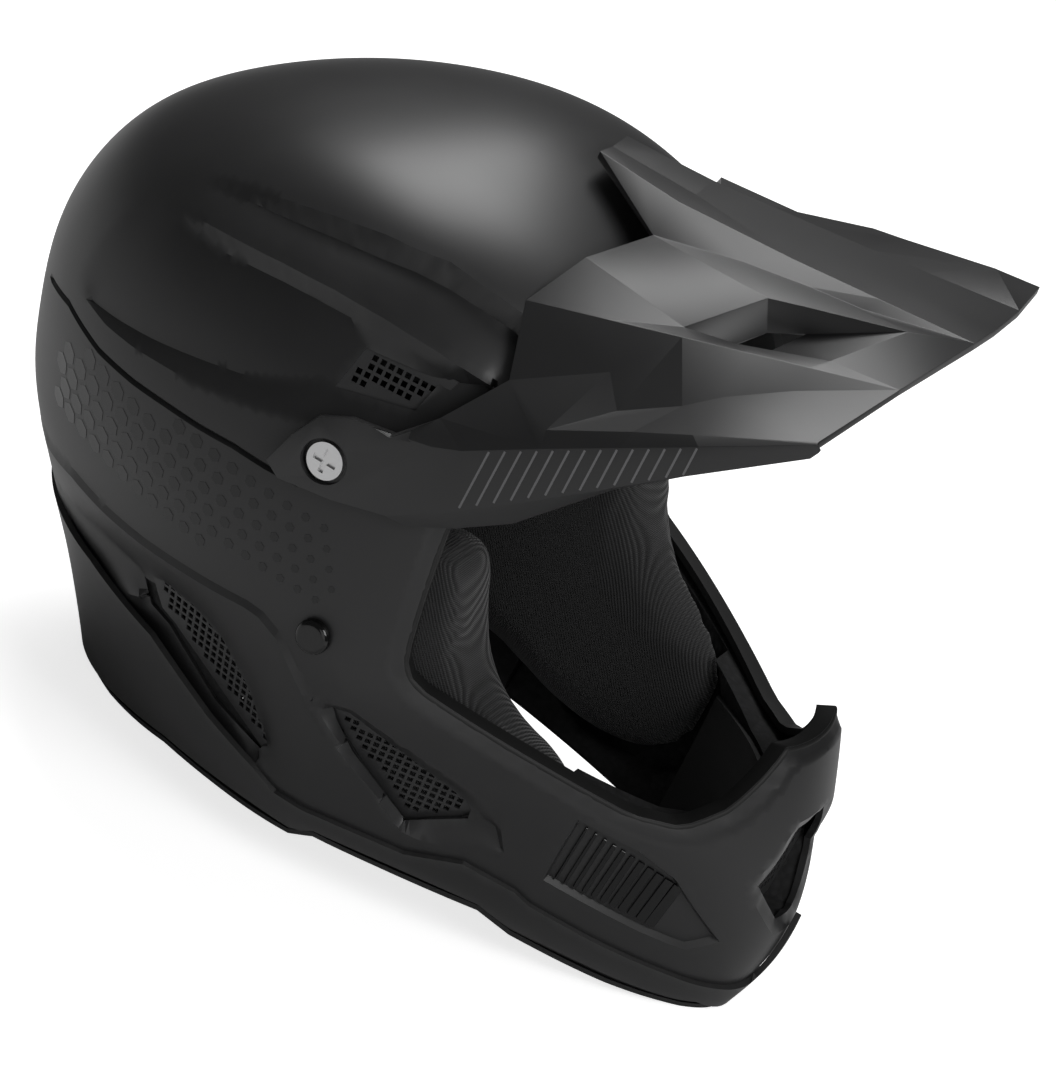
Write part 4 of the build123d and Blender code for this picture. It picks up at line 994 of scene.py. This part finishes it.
def lockTab():
    # Arc band with a slot, which the centre lock clamps
    half, slot = lock["width"] / 2, lock["slot"] / 2
    reach = radians(lock["slotLength"] / 2 * 360 / (2 * pi * lock["inner"]))
    middle = radians(lock["angle"])
    ends = [radians(lock["angle"] - lock["below"]), radians(lock["angle"] + lock["above"])]
    stops = [ends[0], middle - reach, middle + reach, ends[1]]
    angles = np.concatenate([np.linspace(a, b, 6)[:-1] for a, b in zip(stops, stops[1:])] + [stops[-1:]])
    rows = [
        [
            (x, visor["pivot"][0] - lock["outer"] * cos(a), visor["pivot"][1] + lock["outer"] * sin(a))
            for x in (-half, -slot, slot, half)
        ]
        for a in angles
    ]
    faces = [
        (i * 4 + j, i * 4 + j + 1, i * 4 + j + 5, i * 4 + j + 4)
        for i in range(len(rows) - 1) for j in range(3) if not (j == 1 and 5 <= i < 10)
    ]
    tab = meshObject("lockTab", np.array(rows).reshape(-1, 3), faces)
    applied(tab, "SOLIDIFY", thickness=(lock["outer"] - lock["inner"]) * mm, offset=-1.0)
    if tab.data.polygons[0].normal.y > 0:
        tab.data.flip_normals()
    return tab


visorPiece = addVisor()
print("visor made", len(visorPiece.data.polygons))


# Pads: swollen by cloth from a slightly smaller copy of each soft solid
pads = {
    "cheek_pad_right": {"name": "cheekPad.right", "voxel": 4.0, "shrink": 2.0, "cap": 3.0, "fill": 0.7},
    "cheek_pad_left": {"name": "cheekPad.left", "voxel": 4.0, "shrink": 2.0, "cap": 3.0, "fill": 0.7},
    "crown_pad": {"name": "crownPad", "voxel": 3.0, "shrink": 0.8, "cap": 2.0, "fill": 0.6},
    "brow_pad": {"name": "browPad", "voxel": 3.0, "shrink": 0.8, "cap": 2.0, "fill": 0.6},
    "neck_roll": {"name": "neckRoll", "voxel": 3.5, "shrink": 1.2, "cap": 2.5, "fill": 0.7},
}
swelling = {"pressure": 4.0, "frames": 20, "smoothing": 3}


def mergedCopy(name, cadNode):
    # Own copy of a CAD solid's mesh, with its loose triangles joined
    made = bpy.data.objects.new(name, frame["nodes"][cadNode].data.copy())
    bpy.context.scene.collection.objects.link(made)
    bpy.ops.object.select_all(action="DESELECT")
    bpy.context.view_layer.objects.active = made
    made.select_set(True)
    bpy.ops.object.mode_set(mode="EDIT")
    bpy.ops.mesh.select_all(action="SELECT")
    bpy.ops.mesh.remove_doubles(threshold=0.00005)
    bpy.ops.object.mode_set(mode="OBJECT")
    made.select_set(False)
    return made


def placesOf(piece):
    places = np.empty(len(piece.data.vertices) * 3)
    piece.data.vertices.foreach_get("co", places)
    return places.reshape(-1, 3)


def swollen(pad, cap):
    # Cloth blown up from inside, no point moving further than the cap
    before = placesOf(pad)
    cloth = pad.modifiers.new("cloth", "CLOTH")
    cloth.settings.use_pressure = True
    cloth.settings.uniform_pressure_force = swelling["pressure"]
    cloth.settings.effector_weights.gravity = 0
    cloth.point_cache.frame_end = swelling["frames"]
    for step in range(1, swelling["frames"] + 1):
        bpy.context.scene.frame_set(step)
    bpy.context.view_layer.objects.active = pad
    bpy.ops.object.modifier_apply(modifier="cloth")
    bpy.context.scene.frame_set(1)
    moved = placesOf(pad) - before
    length = np.linalg.norm(moved, axis=1)[:, None]
    moved *= np.minimum(1, cap * mm / np.maximum(length, 1e-9))
    pad.data.vertices.foreach_set("co", (before + moved).ravel())
    pad.data.update()


def addPad(cadNode):
    values = pads[cadNode]
    pad = mergedCopy(values["name"], cadNode)
    applied(pad, "REMESH", mode="VOXEL", voxel_size=values["voxel"] * mm)
    applied(pad, "SMOOTH", factor=0.5, iterations=swelling["smoothing"])
    applied(pad, "DISPLACE", strength=-values["shrink"] * mm, mid_level=0.0)
    swollen(pad, values["cap"])
    applied(pad, "SUBSURF", levels=1, render_levels=1)
    smoothShaded(pad, 180)
    carried(pad, materials["padding"], replaced=[cadNode])


for padNode in pads:
    addPad(padNode)
    print("pad made", padNode)

# Liners: the foam's outer face lies clear under the shell's recesses
liners = {
    "crown_liner": {"name": "crownFoam", "depth": 6.4}, "chin_liner": {"name": "chinFoam", "depth": 5.0},
}


def addLiner(cadNode):
    values = liners[cadNode]
    liner = mergedCopy(values["name"], cadNode)
    places = placesOf(liner) / mm - (0, headSize["crownY"], 0)
    flip = np.where(places[:, :1] > 0, -1.0, 1.0) * (1, 0, 0) + (0, 1, 1)
    surface, normals = toSurface(toMap(places * flip))
    below = np.sum((surface - places * flip) * normals, 1)
    sunk = places * flip - normals * np.clip(values["depth"] - below, 0, None)[:, None]
    liner.data.vertices.foreach_set("co", ((sunk * flip + (0, headSize["crownY"], 0)) * mm).ravel())
    liner.data.update()
    smoothShaded(liner, 30)
    carried(liner, materials["foam"], replaced=[cadNode])


for linerNode in liners:
    addLiner(linerNode)
print("liners made")


# Straps: the webbing's own ribs over the CAD run
strapForm = {"edge": 0.3, "smooth": 35}


def webbing(name, cadNode):
    strap = mergedCopy(name, cadNode)
    applied(
        strap, "BEVEL", width=strapForm["edge"] * mm, segments=2, limit_method="ANGLE",
        angle_limit=radians(40),
    )
    smoothShaded(strap, strapForm["smooth"])
    carried(strap, materials["webbing"], replaced=[cadNode])


for side in ("right", "left"):
    webbing("chinStrap." + side, "chin_strap_" + side)
print("straps made")

# Printed and moulded details: lines, hexagons and bars laid on the surfaces
printed = {"stand": 0.12, "lineWidth": 0.75, "lines": 14, "hexLarge": 4.6, "hexSmall": 1.6, "hexPitch": 9.2}


def printMaterial(name, colour, roughness):
    material, tree, shader = newMaterial(name)
    skin = groupNode(tree, grain, Scale=1500.0, Height=0.000004, Roughness=roughness, Wander=0.08)
    darker = tuple(value * 0.8 for value in colour)
    tree.links.new(mixedColour(tree, skin.outputs["Cloud"], darker, colour), shader.inputs["Base Color"])
    tree.links.new(skin.outputs["Roughness"], shader.inputs["Roughness"])
    tree.links.new(skin.outputs["Normal"], shader.inputs["Normal"])
    return material


palePrint = printMaterial("palePrint", (0.16, 0.16, 0.165), 0.35)
glossPrint = printMaterial("glossPrint", (0.004, 0.004, 0.0045), 0.12)
hatchEnds = {
    "firstTop": (489, 452), "lastTop": (697, 448.5), "firstFoot": (459, 508), "lastFoot": (683, 475),
}


def addHatch():
    # Slanted pale lines on the lower face of each visor arm
    faces, points = [], []
    outwards = np.array((-1.0, -visor["armSlope"], 0.0)) * printed["stand"]
    for i in range(printed["lines"]):
        share = i / (printed["lines"] - 1)
        ends = []
        for near, far in (("firstTop", "lastTop"), ("firstFoot", "lastFoot")):
            u, v = np.array(hatchEnds[near]) * (1 - share) + np.array(hatchEnds[far]) * share
            ends.append(onArm(u, v) + outwards)
        ahead = (ends[1] - ends[0]) / np.linalg.norm(ends[1] - ends[0])
        sideways = np.cross(ahead, outwards) / printed["stand"] * printed["lineWidth"] / 2
        for flip in (1, -1):
            corners = [
                (ends[0] - sideways), (ends[0] + sideways), (ends[1] + sideways), (ends[1] - sideways),
            ]
            corners = [corner * (flip, 1, 1) for corner in corners]
            count = len(points)
            points.extend(corners if flip == 1 else corners[::-1])
            faces.append(tuple(range(count, count + 4)))
    lines = meshObject("armHatch", points, faces)
    applied(lines, "SOLIDIFY", thickness=0.2 * mm, offset=-1.0)
    outwardNormals(lines)
    carried(lines, palePrint, "visor_body")


addHatch()

decalOutline = [
    (62, 330), (86, 352), (132, 395), (196, 433), (262, 472), (300, 496), (330, 530), (345, 585),
    (315, 600), (276, 578), (209, 548), (175, 528), (140, 502), (106, 473), (76, 436), (56, 400),
]


def addHexagons():
    # Gloss hexagons that shrink towards the front, on both rear flanks
    outline = onPhoto([(u, v, 0) for u, v in decalOutline])[0]
    low, high = outline.min(0), outline.max(0)
    pitch = printed["hexPitch"] * onMap
    grid = np.array([
        (u + (row % 2) * pitch / 2, v)
        for row, v in enumerate(np.arange(low[1], high[1], pitch * 0.866)) for u in np.arange(
            low[0], high[0], pitch,
        )
    ])
    grid = grid[insidePolygon(grid, outline)]
    share = (grid[:, 0] - low[0]) / (high[0] - low[0])
    radius = (printed["hexSmall"] + (printed["hexLarge"] - printed["hexSmall"]) * share) * onMap
    turn = np.arange(6) * pi / 3 + pi / 6
    corners = grid[:, None, :] + radius[:, None, None] * np.stack([np.cos(turn), np.sin(turn)], -1)[None]
    places, normals = toSurface(corners.reshape(-1, 2))
    places = places + normals * printed["stand"]
    faces = [tuple(range(i * 6 + 5, i * 6 - 1, -1)) for i in range(len(grid))]
    dots = meshObject("flankHexagons", places, faces)
    applied(dots, "MIRROR", use_axis=(True, False, False))
    applied(dots, "SOLIDIFY", thickness=0.3 * mm, offset=-1.0)
    outwardNormals(dots)
    carried(dots, glossPrint)


addHexagons()

# Bars of the chin recess, each from its upper to its lower end in photo pixels
chinBars = {
    "first": ((577, 822), (545, 874)), "last": ((678, 886), (648, 925)), "count": 12, "narrow": 0.5,
    "wide": 3.2, "depth": -1.5,
}


def addChinBars():
    points, faces = [], []
    for i in range(chinBars["count"]):
        share = i / (chinBars["count"] - 1)
        ends = [
            np.array(a) * (1 - share) + np.array(b) * share for a,
            b in zip(chinBars["first"], chinBars["last"])
        ]
        half = (chinBars["narrow"] + (chinBars["wide"] - chinBars["narrow"]) * share) / 2 * onMap
        line = onPhoto(
            [(*(ends[0] * (1 - t) + ends[1] * t), chinBars["depth"])
            for t in np.linspace(0, 1, 5)]
        )[0]
        sides = [beside((line, line[:, 0]), reach)[0] for reach in (half, -half)]
        edge = np.concatenate([sides[0], sides[1][::-1]])
        places, normals = toSurface(edge)
        places = places + normals * chinBars["depth"]
        first = len(points)
        points.extend(places)
        faces.extend((first + k, first + k + 1, first + 8 - k, first + 9 - k) for k in range(4))
    bars = meshObject("chinBars", points, faces)
    applied(bars, "MIRROR", use_axis=(True, False, False))
    applied(bars, "SOLIDIFY", thickness=1.2 * mm, offset=-1.0)
    outwardNormals(bars)
    applied(bars, "BEVEL", width=0.15 * mm, segments=1, limit_method="ANGLE", angle_limit=radians(40))
    carried(bars, glossPrint)


addChinBars()
print("details made")

# Studio: pale floor and backdrop, soft lamps
studio = {"floorSize": 8.0, "world": 0.07, "floorGlow": 0.75, "target": (0, 0, 0.12)}
lamps = {
    "topLamp": {"power": 18.0, "size": 0.9, "place": (0.62, 0.52, 1.5)},
    "keyLamp": {"power": 13.0, "size": 0.9, "place": (-0.6, -1.3, 1.3)},
    "fillLamp": {"power": 5.0, "size": 1.4, "place": (-1.7, -0.9, 0.5)},
}


def addFloor():
    bpy.ops.mesh.primitive_plane_add(size=studio["floorSize"], location=(0, 0, 0))
    floor = bpy.context.object
    floor.name = "floor"
    material, tree, shader = newMaterial("paleFloor")
    shader.inputs["Base Color"].default_value = (0.8, 0.8, 0.8, 1)
    shader.inputs["Roughness"].default_value = 0.9
    path = tree.nodes.new("ShaderNodeLightPath")
    shader.inputs["Emission Color"].default_value = (1, 1, 1, 1)
    glow = mathNode(tree, "MULTIPLY", path.outputs["Is Camera Ray"], studio["floorGlow"])
    tree.links.new(glow, shader.inputs["Emission Strength"])
    floor.data.materials.append(material)


def addLamp(name, power, size, place):
    lamp = bpy.data.lights.new(name, "AREA")
    lamp.energy = power
    lamp.size = size
    holder = bpy.data.objects.new(name, lamp)
    bpy.context.scene.collection.objects.link(holder)
    holder.location = place
    holder.rotation_mode = "QUATERNION"
    holder.rotation_quaternion = (Vector(place) - Vector(studio["target"])).to_track_quat("Z", "Y")


def addWorld():
    world = bpy.data.worlds.new("studioWorld")
    bpy.context.scene.world = world
    world.use_nodes = True
    tree = world.node_tree
    shader = tree.nodes["Background"]
    path = tree.nodes.new("ShaderNodeLightPath")
    shader.inputs["Color"].default_value = (1, 1, 1, 1)
    tree.links.new(
        mathNode(tree, "MAXIMUM", path.outputs["Is Camera Ray"], studio["world"]),
        shader.inputs["Strength"],
    )


addFloor()
for lampName, values in lamps.items():
    addLamp(lampName, **values)
addWorld()
bpy.context.scene.view_settings.view_transform = "Standard"
